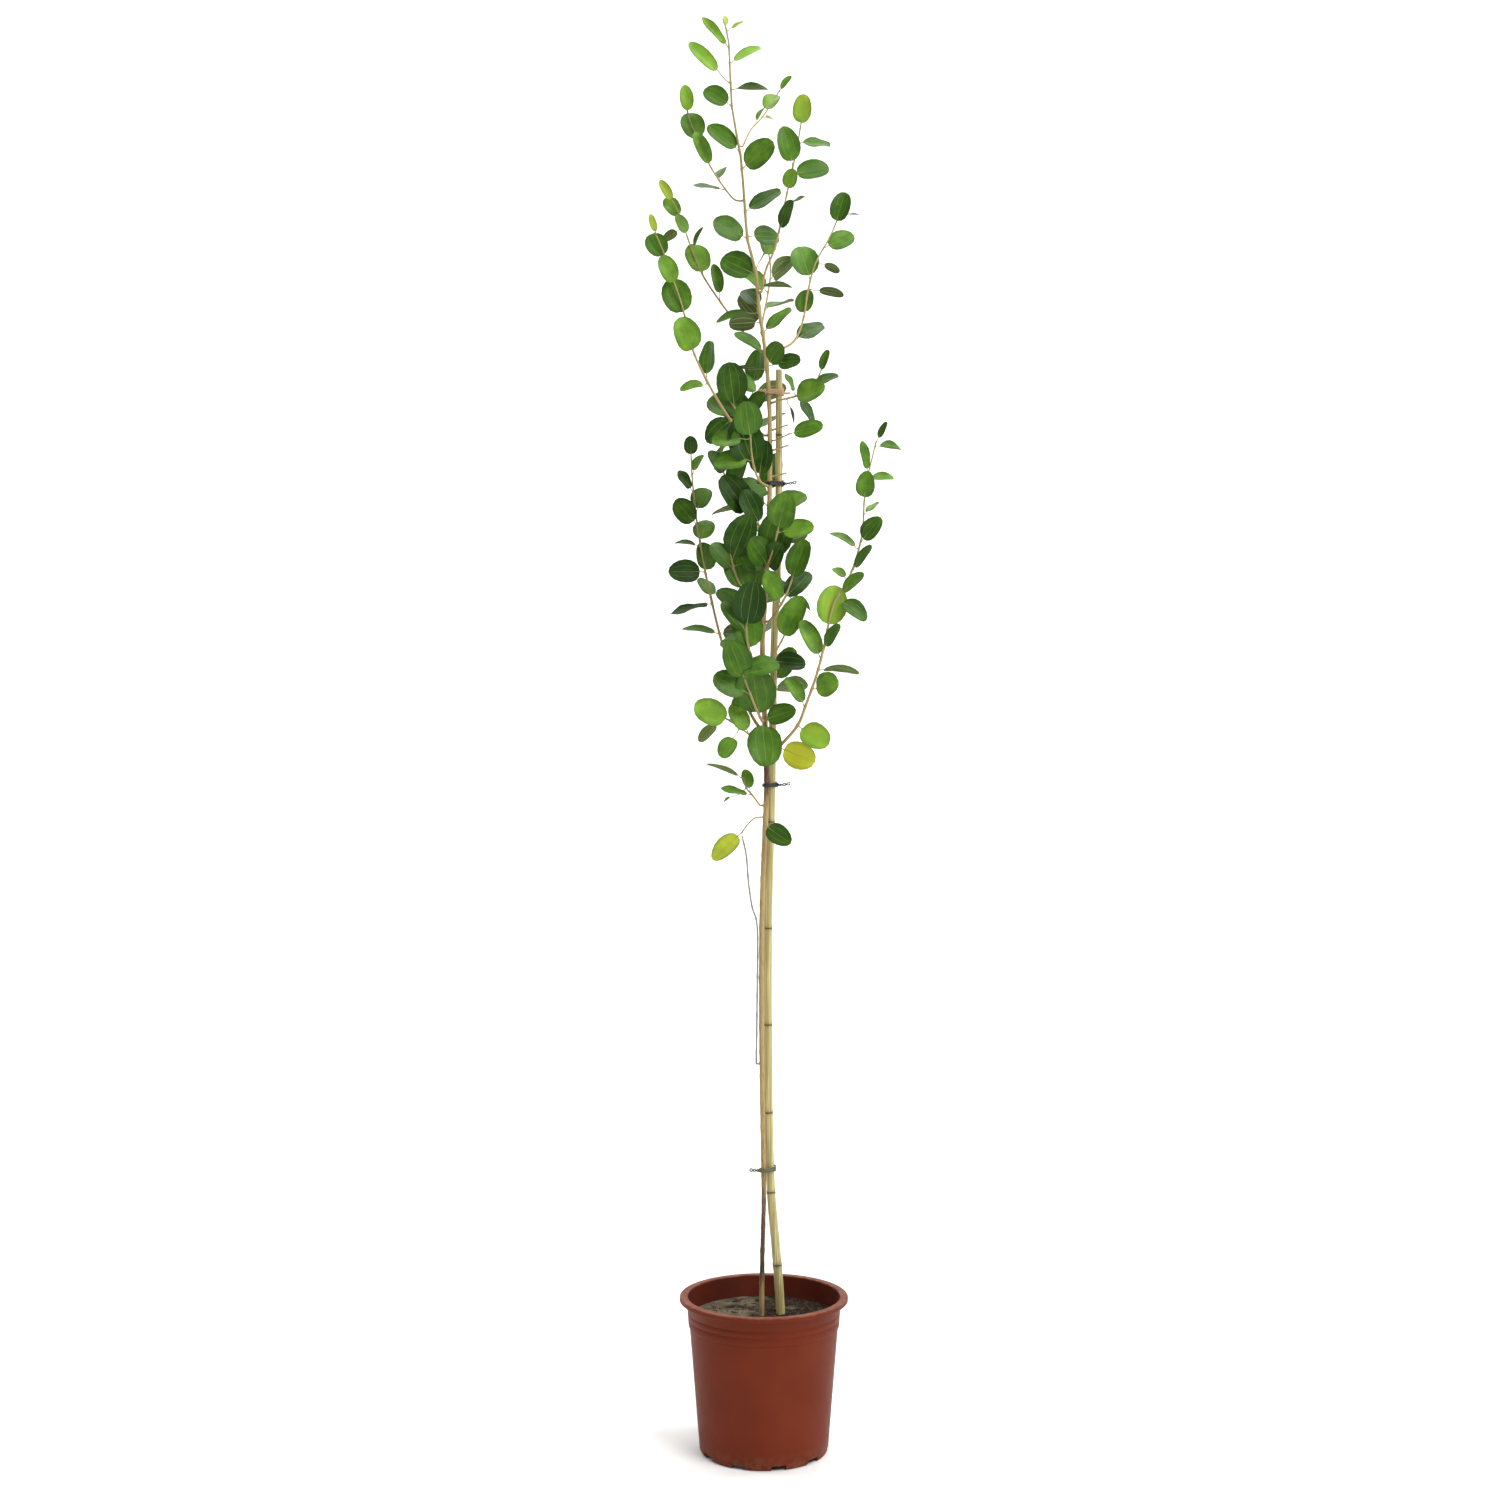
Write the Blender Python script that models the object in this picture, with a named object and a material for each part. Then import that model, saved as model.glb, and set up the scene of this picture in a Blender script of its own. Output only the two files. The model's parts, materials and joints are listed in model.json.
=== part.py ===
"""A potted jujube tree: a thin whip with leafy side shoots, tied to a bamboo cane, in a nursery pot.

The origin is the centre of the pot's underside, +Z is up and the plant's front faces -Y.
Lengths are in metres. Only the rows of the plant's plan, from TRUNK_ROUTE on, are in millimetres.
Each shoot is a twig with its leaves, joined into one solid, and sits at the trunk.
"""

import math
from dataclasses import dataclass

import bmesh
import bpy
from mathutils import Vector

MM = 0.001
SEAT_GAP = 0.0003

# Pot: a thin wall with a stepped collar and an outturned lip
POT_HEIGHT = 0.211
POT_FOOT_RADIUS = 0.088
POT_TOP_RADIUS = 0.1066
POT_WALL = 0.0022
POT_FLOOR = 0.003
FOOT_ROUND = 0.004
COLLAR_HEIGHT = 0.040
COLLAR_STEP = 0.0014
LIP_OVERHANG = 0.009
LIP_THICKNESS = 0.003
LIP_DROP = 0.006
LIP_ROUND = 0.001
POT_SEGMENTS = 64
NOTCH_COUNT = 10
NOTCH_TURN = -0.09
NOTCH_WIDTH = 0.020
NOTCH_HEIGHT = 0.007

# Soil
SOIL_HEADSPACE = 0.026
SOIL_DOME = 0.003
SOIL_CLEARANCE = 0.0004

# Cane
CANE_FOOT_RADIUS = 0.0065
CANE_TOP_RADIUS = 0.0045
CANE_LENGTH = 1.480
CANE_KNOT_RISE = 0.0007
CANE_KNOT_HALF = 0.004
CANE_FIRST_KNOT = 0.075
CANE_KNOT_GROWTH = 1.10

# Ties
TIE_RADIUS = 0.0008
TIE_KNOT_RADIUS = 0.0022
TIE_TAIL = 0.014
TIE_POINTS = 20

# Leaves and twigs
LEAF_HALF_THICKNESS = 0.0005
STALK_HALF_WIDTH = 0.0006
LEAF_CURL = 0.10
LEAF_CUP = 0.16
LEAF_SPREAD = 0.009
TWIG_STAND_OFF = 0.005
STUB_RADIUS = 0.0011

BOW_STEPS = 4
TRUNK_STEPS = 2
SHOOT_STEPS = 2
REACH_STEPS = 12
IN_PLANE = 0.92

# Routes of the trunk: x, y, z and radius
TRUNK_ROUTE = (
    (-4, -6, 110, 2.6),
    (-3, -6, 183, 3.6),
    (-2, -5, 270, 3.1),
    (0, -5, 340, 3.1),
    (-1, -5, 420, 3.4),
    (-3, -5, 560, 3.5),
    (-3, -5, 720, 3.5),
    (0, -5, 815, 3.5),
    (4, -5, 915, 3.7),
    (1, -5, 1010, 3.6),
    (-2, -5, 1110, 3.5),
    (5, -5, 1220, 3.4),
    (8, -5, 1310, 3.3),
    (8, -5, 1420, 3.0),
    (3, -4, 1500, 2.6),
    (-6, -2, 1562, 2.4),
    (-11, 0, 1617, 2.2),
    (-22, 2, 1660, 2.0),
    (-26, 2, 1705, 1.9),
    (-32, 0, 1777, 1.7),
    (-44, -3, 1844, 1.5),
    (-48, -4, 1930, 1.2),
    (-56, -6, 1962, 0.8),
)
LEADER_FOOT = 1420
# The cane leans and bows a little: its x and y at a height
CANE_BOW = (
    (26, 4, 0),
    (23, 4, 183),
    (17, 5, 270),
    (10, 6, 350),
    (7, 6, 440),
    (6, 6, 560),
    (6, 6, 720),
    (11, 6, 915),
    (14, 6, 1100),
    (20, 5, 1250),
    (21, 5, 1490),
)
# Pruned side stubs: height on the trunk, then the tip
PRUNED_STUBS = ((1398, (33, -12, 1405)), (1370, (34, -12, 1377)), (1334, (31, -12, 1339)))


@dataclass(frozen=True)
class Leaf:
    """One leaf: its blade's centre and size, its depth from the twig, its roll and the length of its stalk.

    At roll 0 the upper side faces the front, at 90 it faces up, and at 180 the underside faces the front.
    """

    x: float
    z: float
    length: float
    width: float
    depth: float = 0.0
    roll: float = 20.0
    stalk: float = 8.0


@dataclass(frozen=True)
class Shoot:
    """One side shoot: the height where it sits on the trunk, its route, its thickness and its leaves."""

    name: str
    seat: float
    route: tuple
    radii: tuple
    leaves: tuple


LEADER_LEAVES = (
    Leaf(-67, 1944, 46, 12, 0, 10),
    Leaf(-53, 1964, 20, 8, 0, 10),
    Leaf(-38, 1953, 18, 7, 4, 30),
    Leaf(-24, 1920, 48, 15, 0, 25),
    Leaf(-80, 1905, 52, 20, -6, 10, 26),
    Leaf(-61, 1856, 38, 28, -8, 10),
    Leaf(-19, 1870, 42, 16, 6, 60),
    Leaf(-53, 1801, 50, 28, -8, 20),
    Leaf(-7, 1775, 50, 35, -8, 5),
    Leaf(0, 1720, 54, 24, -2, 20),
    Leaf(-47, 1674, 46, 33, -4, 15),
    Leaf(5, 1671, 40, 32, 4, 15),
    Leaf(-2, 1640, 34, 14, 12, 84),
    Leaf(-35, 1627, 48, 40, -6, 10),
    Leaf(15, 1604, 42, 16, 18, 86),
    Leaf(-46, 1560, 46, 20, 0, 40, 16),
    Leaf(-27, 1548, 36, 26, 12, 150),
    Leaf(17, 1552, 48, 20, -4, 30),
    Leaf(-20, 1520, 44, 22, -8, 40),
    Leaf(-22, 1488, 44, 18, 2, 85),
    Leaf(17, 1503, 36, 30, -14, 10),
    Leaf(-18, 1587, 40, 28, 4, 15),
    Leaf(34, 1490, 34, 24, -10, 15),
)

SHOOTS = (
    Shoot(
        "crown_left_shoot",
        1716,
        ((-42, 12, 1721), (-58, 20, 1743), (-75, 28, 1772), (-89, 34, 1802), (-103, 38, 1838), (-109, 40, 1859)),
        (1.5, 0.8),
        (
            Leaf(-107, 1866, 34, 20, 0, 5),
            Leaf(-98, 1829, 42, 34, -8, 10),
            Leaf(-84, 1793, 46, 24, -4, 30),
            Leaf(-59, 1770, 32, 18, 4, 35),
            Leaf(-77, 1739, 38, 18, 2, 60),
        ),
    ),
    Shoot(
        "crown_right_shoot",
        1790,
        ((-18, 12, 1816), (-3, 24, 1836), (12, 34, 1861), (23, 40, 1881)),
        (1.2, 0.8),
        (
            Leaf(30, 1888, 22, 9, 0, 20),
            Leaf(11, 1866, 36, 23, -6, 15),
            Leaf(-6, 1840, 22, 13, 4, 60),
            Leaf(15, 1843, 22, 12, 6, 40),
        ),
    ),
    Shoot(
        "upper_right_shoot",
        1588,
        ((2, -12, 1615), (15, -24, 1644), (25, -36, 1686), (35, -44, 1731), (44, -50, 1770), (50, -52, 1806)),
        (1.8, 0.9),
        (
            Leaf(51, 1820, 37, 26, -2, 5),
            Leaf(72, 1783, 42, 18, 2, 25),
            Leaf(33, 1774, 44, 32, -6, 10),
            Leaf(64, 1745, 46, 28, -4, 10),
            Leaf(35, 1731, 26, 22, 6, 20),
            Leaf(45, 1711, 34, 13, 10, 80),
            Leaf(31, 1688, 42, 19, -10, 15),
        ),
    ),
    Shoot(
        "right_shoot",
        1496,
        (
            (20, 8, 1510),
            (42, 20, 1526),
            (55, 30, 1558),
            (62, 38, 1601),
            (73, 44, 1641),
            (92, 48, 1676),
            (106, 50, 1709),
        ),
        (2.0, 0.9),
        (
            Leaf(107, 1717, 40, 28, 0, 5),
            Leaf(106, 1673, 40, 30, -8, 15),
            Leaf(126, 1710, 18, 7, 4, 80),
            Leaf(58, 1643, 50, 40, -8, 5),
            Leaf(96, 1633, 24, 12, 8, 150),
            Leaf(57, 1586, 38, 28, -6, 20),
            Leaf(95, 1597, 36, 14, 4, 140),
            Leaf(66, 1546, 48, 30, -2, 25),
        ),
    ),
    Shoot(
        "upper_left_shoot",
        1508,
        ((-33, 18, 1544), (-67, 34, 1593), (-89, 42, 1630), (-103, 48, 1667), (-118, 52, 1710), (-136, 54, 1743)),
        (2.0, 0.8),
        (
            Leaf(-136, 1742, 30, 14, 0, 5),
            Leaf(-127, 1721, 34, 22, -6, 10),
            Leaf(-113, 1694, 28, 20, 2, 30),
            Leaf(-131, 1685, 24, 14, 6, 150),
            Leaf(-93, 1676, 28, 14, 4, 60),
            Leaf(-91, 1646, 46, 36, -8, 20, 12),
            Leaf(-64, 1612, 40, 20, -4, 35, 14),
        ),
    ),
    Shoot(
        "far_left_shoot",
        1360,
        (
            (-26, -18, 1383),
            (-50, -30, 1415),
            (-71, -40, 1448),
            (-91, -48, 1487),
            (-100, -52, 1513),
            (-109, -55, 1553),
            (-122, -58, 1592),
            (-137, -60, 1633),
            (-147, -60, 1656),
        ),
        (2.4, 0.9),
        (
            Leaf(-149, 1666, 24, 10, 0, 5),
            Leaf(-144, 1639, 36, 30, -6, 5),
            Leaf(-128, 1604, 38, 26, 0, 15),
            Leaf(-117, 1570, 48, 40, -8, 5),
            Leaf(-104, 1519, 46, 38, -4, 15),
            Leaf(-77, 1489, 46, 26, -4, 30),
            Leaf(-97, 1452, 32, 16, 2, 30),
        ),
    ),
    Shoot(
        "cane_top_shoot",
        1436,
        ((20, -14, 1438), (47, -26, 1443), (67, -34, 1456), (79, -38, 1477)),
        (1.8, 0.8),
        (
            Leaf(81, 1487, 28, 12, 0, 20),
            Leaf(83, 1464, 34, 20, -4, 40),
            Leaf(66, 1448, 46, 32, -10, 10),
            Leaf(59, 1424, 34, 20, -4, 40),
            Leaf(36, 1461, 26, 14, 4, 60),
            Leaf(40, 1419, 26, 12, 6, 75),
        ),
    ),
    Shoot(
        "cane_side_leaf",
        1384,
        ((24, -16, 1387), (36, -20, 1392)),
        (1.1, 0.9),
        (
            Leaf(59, 1397, 42, 24, 0, 10),
        ),
    ),
    Shoot(
        "centre_left_shoot",
        1392,
        ((-16, 8, 1406), (-36, 14, 1427), (-52, 18, 1453), (-56, 20, 1474)),
        (1.8, 0.9),
        (
            Leaf(-44, 1465, 54, 44, -6, 10),
            Leaf(-57, 1439, 46, 38, -4, 15),
            Leaf(-63, 1402, 42, 34, 0, 20),
            Leaf(-65, 1369, 38, 16, 2, 60),
            Leaf(-10, 1440, 30, 24, -6, 20),
            Leaf(-22, 1471, 34, 28, 8, 20),
            Leaf(-34, 1434, 42, 36, 10, 15),
        ),
    ),
    Shoot(
        "centre_front_shoot",
        1322,
        ((-6, -24, 1327), (-14, -42, 1344), (-18, -54, 1372), (-18, -60, 1395)),
        (2.0, 1.0),
        (
            Leaf(-22, 1405, 46, 40, -4, 10),
            Leaf(-24, 1375, 60, 50, -8, 5),
            Leaf(-43, 1352, 44, 32, 6, 25),
            Leaf(-4, 1356, 46, 36, 6, 25),
            Leaf(-51, 1379, 40, 28, 8, 30),
        ),
    ),
    Shoot(
        "centre_fork_shoot",
        1262,
        ((-18, 6, 1281), (-38, 10, 1301), (-52, 12, 1332), (-58, 14, 1358)),
        (2.0, 0.9),
        (
            Leaf(-62, 1356, 34, 24, -2, 30),
            Leaf(-38, 1345, 54, 30, -6, 30),
            Leaf(-38, 1311, 58, 42, -10, 15),
            Leaf(-56, 1297, 42, 18, 4, 60),
            Leaf(-16, 1293, 48, 32, -8, 25),
            Leaf(-12, 1325, 46, 36, 8, 20),
        ),
    ),
    Shoot(
        "middle_front_shoot",
        1206,
        ((6, -24, 1214), (13, -42, 1234), (19, -54, 1258), (23, -58, 1278)),
        (2.2, 1.0),
        (
            Leaf(24, 1281, 48, 40, -4, 15),
            Leaf(16, 1252, 62, 50, 4, 10),
            Leaf(-10, 1235, 46, 38, -6, 20),
            Leaf(8, 1213, 46, 34, -10, 30),
            Leaf(44, 1258, 42, 28, 8, 18),
        ),
    ),
    Shoot(
        "middle_left_shoot",
        1150,
        ((-16, -14, 1167), (-34, -20, 1188), (-44, -24, 1218), (-48, -26, 1243)),
        (2.2, 1.0),
        (
            Leaf(-33, 1248, 58, 44, -2, 10),
            Leaf(-33, 1205, 54, 44, -6, 12),
            Leaf(-56, 1224, 42, 30, 4, 30),
            Leaf(-14, 1220, 46, 36, 8, 20),
        ),
    ),
    Shoot(
        "middle_right_shoot",
        1136,
        ((16, -16, 1147), (30, -16, 1171), (40, -12, 1199), (44, -10, 1217)),
        (2.0, 1.0),
        (
            Leaf(46, 1219, 52, 32, -4, 15),
            Leaf(46, 1189, 52, 30, -4, 20),
            Leaf(12, 1185, 46, 30, -10, 30),
            Leaf(58, 1160, 24, 14, 6, 60),
        ),
    ),
    Shoot(
        "left_shoot",
        988,
        (
            (-18, 14, 1010),
            (-40, 28, 1057),
            (-59, 40, 1113),
            (-73, 50, 1170),
            (-85, 56, 1226),
            (-94, 60, 1283),
            (-100, 62, 1339),
            (-102, 62, 1377),
        ),
        (2.6, 0.9),
        (
            Leaf(-102, 1387, 26, 20, 0, 5),
            Leaf(-94, 1364, 28, 16, -4, 40),
            Leaf(-109, 1338, 30, 18, 0, 40),
            Leaf(-88, 1314, 36, 30, -4, 15),
            Leaf(-111, 1295, 42, 32, -8, 10),
            Leaf(-84, 1272, 36, 32, 0, 15),
            Leaf(-107, 1252, 28, 14, 6, 60),
            Leaf(-81, 1230, 42, 32, -6, 25),
            Leaf(-109, 1210, 44, 34, -4, 10),
            Leaf(-81, 1194, 38, 28, 8, 40),
            Leaf(-104, 1159, 54, 17, 0, 62),
            Leaf(-91, 1130, 52, 19, 2, 58),
        ),
    ),
    Shoot(
        "outer_right_shoot",
        946,
        (
            (12, -16, 956),
            (28, -24, 972),
            (46, -34, 994),
            (56, -42, 1019),
            (71, -52, 1062),
            (81, -58, 1101),
            (93, -62, 1155),
            (114, -64, 1191),
            (131, -64, 1247),
            (136, -62, 1311),
            (151, -58, 1376),
        ),
        (2.6, 0.9),
        (
            Leaf(158, 1389, 24, 10, 0, 20),
            Leaf(171, 1371, 34, 14, 0, 45),
            Leaf(136, 1353, 38, 15, 2, 35),
            Leaf(161, 1329, 36, 14, 2, 30),
            Leaf(135, 1314, 34, 26, -6, 10),
            Leaf(148, 1291, 30, 13, 6, 45),
            Leaf(141, 1255, 36, 26, -4, 20),
            Leaf(107, 1246, 42, 17, 2, 52),
            Leaf(130, 1218, 38, 17, -2, 40),
            Leaf(100, 1202, 26, 14, 4, 30),
            Leaf(119, 1186, 40, 19, -8, 35),
            Leaf(91, 1152, 54, 42, -8, 0),
            Leaf(122, 1150, 38, 26, 2, 30),
            Leaf(64, 1111, 54, 26, 0, 18),
            Leaf(90, 1114, 36, 18, -2, 30),
            Leaf(103, 1069, 50, 22, 2, 114),
            Leaf(86, 1049, 36, 34, -6, 10),
            Leaf(44, 1041, 42, 22, -2, 25),
            Leaf(69, 979, 44, 36, -4, 5),
            Leaf(46, 953, 46, 38, -10, -10),
        ),
    ),
    Shoot(
        "lower_centre_shoot",
        1066,
        ((-12, -22, 1077), (-22, -32, 1102), (-24, -38, 1132), (-20, -42, 1159)),
        (2.2, 1.0),
        (
            Leaf(-19, 1158, 58, 46, -4, 5),
            Leaf(-22, 1124, 56, 44, -4, 12),
            Leaf(-38, 1142, 44, 32, 4, 30),
            Leaf(-44, 1110, 42, 32, 8, 25),
        ),
    ),
    Shoot(
        "lower_right_shoot",
        1078,
        ((14, -18, 1091), (28, -18, 1117), (36, -16, 1143)),
        (2.0, 1.0),
        (
            Leaf(37, 1140, 58, 34, -2, 12),
            Leaf(34, 1081, 42, 28, -4, 25),
        ),
    ),
    Shoot(
        "low_front_shoot",
        1000,
        ((-8, -24, 1010), (-16, -36, 1029), (-26, -42, 1055), (-32, -44, 1076)),
        (2.2, 1.0),
        (
            Leaf(-36, 1082, 52, 40, -2, 10),
            Leaf(-11, 1041, 66, 56, -8, 5),
            Leaf(-4, 1074, 42, 32, 6, 30),
            Leaf(0, 976, 62, 48, -24, 0),
            Leaf(-44, 1049, 48, 36, 8, 15),
            Leaf(18, 1008, 42, 30, -18, 25),
        ),
    ),
    Shoot(
        "low_left_shoot",
        972,
        ((-18, -12, 980), (-38, -16, 994), (-56, -16, 1006)),
        (1.8, 0.9),
        (
            Leaf(-72, 1012, 48, 36, -4, 5),
            Leaf(-78, 984, 34, 18, 6, 145),
            Leaf(-50, 964, 32, 26, -4, 20),
            Leaf(-32, 1003, 40, 28, -10, 25),
            Leaf(-30, 1026, 34, 26, 12, 20),
        ),
    ),
    Shoot(
        "lowest_left_shoot",
        884,
        ((-14, -8, 896), (-24, -10, 908), (-28, -10, 922)),
        (1.5, 0.9),
        (
            Leaf(-56, 935, 46, 20, 2, 112),
            Leaf(-22, 920, 28, 17, -4, 10),
            Leaf(-40, 905, 38, 17, 2, 62),
            Leaf(-52, 892, 14, 6, 6, 60),
        ),
    ),
    Shoot(
        "long_stalk_leaf",
        868,
        ((-14, -10, 866), (-24, -12, 856), (-30, -12, 847)),
        (1.1, 0.9),
        (
            Leaf(-52, 830, 46, 28, -4, 20),
        ),
    ),
    Shoot(
        "lowest_right_leaf",
        858,
        ((0, -14, 861), (3, -17, 860)),
        (1.1, 0.9),
        (
            Leaf(17, 847, 44, 28, -6, 5),
        ),
    ),
    Shoot(
        "back_crown_shoot",
        1532,
        ((-2, 24, 1552), (4, 44, 1586), (10, 58, 1630), (6, 66, 1668)),
        (1.8, 0.9),
        (
            Leaf(6, 1672, 40, 29, 0, 30),
            Leaf(24, 1642, 44, 31, 4, 125),
            Leaf(-14, 1620, 46, 33, 4, 40),
            Leaf(26, 1592, 48, 35, 6, 60),
            Leaf(-18, 1574, 44, 31, 4, 140),
        ),
    ),
    Shoot(
        "back_upper_shoot",
        1376,
        ((-4, 26, 1390), (-12, 46, 1416), (-16, 60, 1452), (-12, 68, 1490)),
        (2.0, 0.9),
        (
            Leaf(-12, 1498, 44, 33, 0, 30),
            Leaf(8, 1468, 48, 35, 4, 125),
            Leaf(-38, 1450, 48, 35, 4, 40),
            Leaf(12, 1428, 52, 37, 4, 60),
            Leaf(-36, 1410, 50, 35, 2, 140),
        ),
    ),
    Shoot(
        "back_middle_shoot",
        1230,
        ((0, 26, 1244), (8, 48, 1270), (6, 62, 1306), (10, 70, 1344)),
        (2.2, 1.0),
        (
            Leaf(10, 1350, 50, 37, 0, 30),
            Leaf(-16, 1326, 54, 39, 4, 125),
            Leaf(32, 1306, 54, 39, 2, 40),
            Leaf(-14, 1282, 52, 37, 4, 60),
            Leaf(34, 1262, 50, 35, 2, 140),
        ),
    ),
    Shoot(
        "back_lower_shoot",
        1096,
        ((-4, 26, 1110), (-14, 48, 1134), (-16, 62, 1168), (-10, 70, 1204)),
        (2.2, 1.0),
        (
            Leaf(-10, 1210, 50, 37, 0, 30),
            Leaf(12, 1184, 54, 39, 4, 125),
            Leaf(-40, 1168, 54, 39, 2, 40),
            Leaf(10, 1142, 52, 37, 2, 60),
            Leaf(-34, 1124, 42, 32, 10, 140),
        ),
    ),
    Shoot(
        "back_low_shoot",
        1024,
        ((4, 24, 1034), (14, 42, 1050), (24, 54, 1074)),
        (1.8, 1.0),
        (
            Leaf(28, 1080, 48, 35, 0, 30),
            Leaf(42, 1052, 48, 33, 4, 125),
            Leaf(2, 1060, 46, 33, 6, 40),
        ),
    ),
)

# The bare dry twig climbs beside the trunk: height of its seat, then its route
DRY_TWIG_SEAT = 530
DRY_TWIG_ROUTE = (
    (-10, -8, 560),
    (-9, -11, 640),
    (-9, -12, 718),
    (-16, -13, 745),
    (-21, -13, 778),
    (-24, -12, 815),
    (-30, -11, 843),
)
DRY_TWIG_RADII = (1.4, 1.1)

# Ties: node name, height as a share of the cane's length, direction of its tail in degrees from +X, material
TIES = (
    ("tie_low", 0.257, -170, "tie_grey"),
    ("tie_middle", 0.614, 0, "tie_dark"),
    ("tie_upper", 0.894, -12, "tie_dark"),
    ("tie_top", 0.979, -150, "tie_raffia"),
)

MATERIALS = {
    "pot_plastic": ((0.150, 0.030, 0.018), 0.45),
    "soil": ((0.100, 0.075, 0.055), 0.95),
    "bark": ((0.150, 0.075, 0.045), 0.80),
    "bamboo": ((0.420, 0.320, 0.140), 0.50),
    "leaf": ((0.060, 0.170, 0.025), 0.40),
    "dry_wood": ((0.400, 0.370, 0.340), 0.85),
    "tie_dark": ((0.015, 0.014, 0.013), 0.60),
    "tie_grey": ((0.140, 0.140, 0.110), 0.70),
    "tie_raffia": ((0.430, 0.320, 0.200), 0.80),
}


def clear_scene():
    for obj in list(bpy.data.objects):
        bpy.data.objects.remove(obj, do_unlink=True)


def material(name):
    """The Principled material of this name, made on first use."""
    if name in bpy.data.materials:
        return bpy.data.materials[name]
    colour, roughness = MATERIALS[name]
    made = bpy.data.materials.new(name)
    made.use_nodes = True
    shader = made.node_tree.nodes["Principled BSDF"]
    shader.inputs["Base Color"].default_value = (*colour, 1.0)
    shader.inputs["Roughness"].default_value = roughness
    shader.inputs["Metallic"].default_value = 0.0
    return made


def mesh_object(name, mesh, slot):
    """A smooth-shaded object of the mesh, in the scene, with one material."""
    mesh.materials.clear()
    mesh.materials.append(material(slot))
    mesh.shade_smooth()
    mesh.set_sharp_from_angle(angle=math.radians(35))
    obj = bpy.data.objects.new(name, mesh)
    bpy.context.scene.collection.objects.link(obj)
    return obj


def object_from_bmesh(name, bm, slot):
    bmesh.ops.recalc_face_normals(bm, faces=bm.faces)
    mesh = bpy.data.meshes.new(name)
    bm.to_mesh(mesh)
    bm.free()
    return mesh_object(name, mesh, slot)


def boolean(body, other, operation):
    """Applies the Boolean of other on body and removes other."""
    modifier = body.modifiers.new(operation.lower(), "BOOLEAN")
    modifier.operation = operation
    modifier.object = other
    modifier.use_self = operation == "UNION"
    graph = bpy.context.evaluated_depsgraph_get()
    mesh = bpy.data.meshes.new_from_object(body.evaluated_get(graph))
    body.modifiers.clear()
    body.data = mesh
    bpy.data.objects.remove(other, do_unlink=True)


def smooth_route(points, steps):
    """Points along a Catmull-Rom curve through the given ones, which may carry a radius as a fourth number."""
    knots = [2 * points[0] - points[1], *points, 2 * points[-1] - points[-2]]
    route = []
    for before, start, end, after in zip(knots, knots[1:], knots[2:], knots[3:]):
        for step in range(steps):
            t = step / steps
            linear = (end - before) * t
            square = (2 * before - 5 * start + 4 * end - after) * t * t
            cube = (3 * start - before - 3 * end + after) * t**3
            route.append(0.5 * (2 * start + linear + square + cube))
    route.append(points[-1])
    return route


def at_height(route, z):
    """The point of a rising route at this height, with its radius."""
    for low, high in zip(route, route[1:]):
        if low.z <= z <= high.z:
            return low.lerp(high, (z - low.z) / (high.z - low.z))
    raise ValueError(f"no point at height {z:.4f}")


def grown(route, by):
    """The route made thicker and longer at both ends, for the hole that it stands in."""
    start = route[0] + (route[0] - route[1]).normalized() * by
    end = route[-1] + (route[-1] - route[-2]).normalized() * by
    inner = [point.copy() for point in route[1:-1]]
    thicker = [start, *inner, end]
    for point, old in zip(thicker, route):
        point.w = old.w + by
    return thicker


def round_stem(name, route, slot, resolution=1, cyclic=False):
    """A round solid along a route of (x, y, z, radius), with filled ends."""
    curve = bpy.data.curves.new(name, "CURVE")
    curve.dimensions = "3D"
    curve.bevel_depth = 1.0
    curve.bevel_resolution = resolution
    curve.use_fill_caps = not cyclic
    spline = curve.splines.new("POLY")
    spline.points.add(len(route) - 1)
    spline.use_cyclic_u = cyclic
    for point, place in zip(spline.points, route):
        point.co = (place.x, place.y, place.z, 1.0)
        point.radius = place.w
    guide = bpy.data.objects.new(name + "_guide", curve)
    bpy.context.scene.collection.objects.link(guide)
    graph = bpy.context.evaluated_depsgraph_get()
    mesh = bpy.data.meshes.new_from_object(guide.evaluated_get(graph))
    bpy.data.objects.remove(guide, do_unlink=True)
    bm = bmesh.new()
    bm.from_mesh(mesh)
    bmesh.ops.remove_doubles(bm, verts=bm.verts, dist=1e-6)
    return object_from_bmesh(name, bm, slot)


def turned(name, profile, slot):
    """A solid turned about Z from a profile of (radius, height) that starts and ends on the axis."""
    bm = bmesh.new()
    points = [bm.verts.new((radius, 0, height)) for radius, height in profile]
    edges = [bm.edges.new(pair) for pair in zip(points, points[1:])]
    bmesh.ops.spin(
        bm, geom=points + edges, axis=(0, 0, 1), cent=(0, 0, 0), angle=math.tau, steps=POT_SEGMENTS
    )
    bmesh.ops.remove_doubles(bm, verts=bm.verts, dist=1e-5)
    return object_from_bmesh(name, bm, slot)


# ---- pot and soil ----


def collar_base():
    return POT_HEIGHT - COLLAR_HEIGHT


def outer_radius(z):
    """The pot's outer radius at a height, without the collar's step or the lip."""
    return POT_FOOT_RADIUS + (POT_TOP_RADIUS - COLLAR_STEP - POT_FOOT_RADIUS) * z / POT_HEIGHT


def inner_profile(clearance, top):
    """(radius, height) down the inside of the pot from a height to the floor, moved in by a clearance."""
    step_z = collar_base()
    return [
        (outer_radius(top) + COLLAR_STEP - POT_WALL - clearance, top),
        (outer_radius(step_z) + COLLAR_STEP - POT_WALL - clearance, step_z + POT_WALL + clearance),
        (outer_radius(step_z) - POT_WALL - clearance, step_z + clearance - POT_WALL),
        (outer_radius(POT_FLOOR) - POT_WALL - clearance, POT_FLOOR + clearance),
    ]


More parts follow.
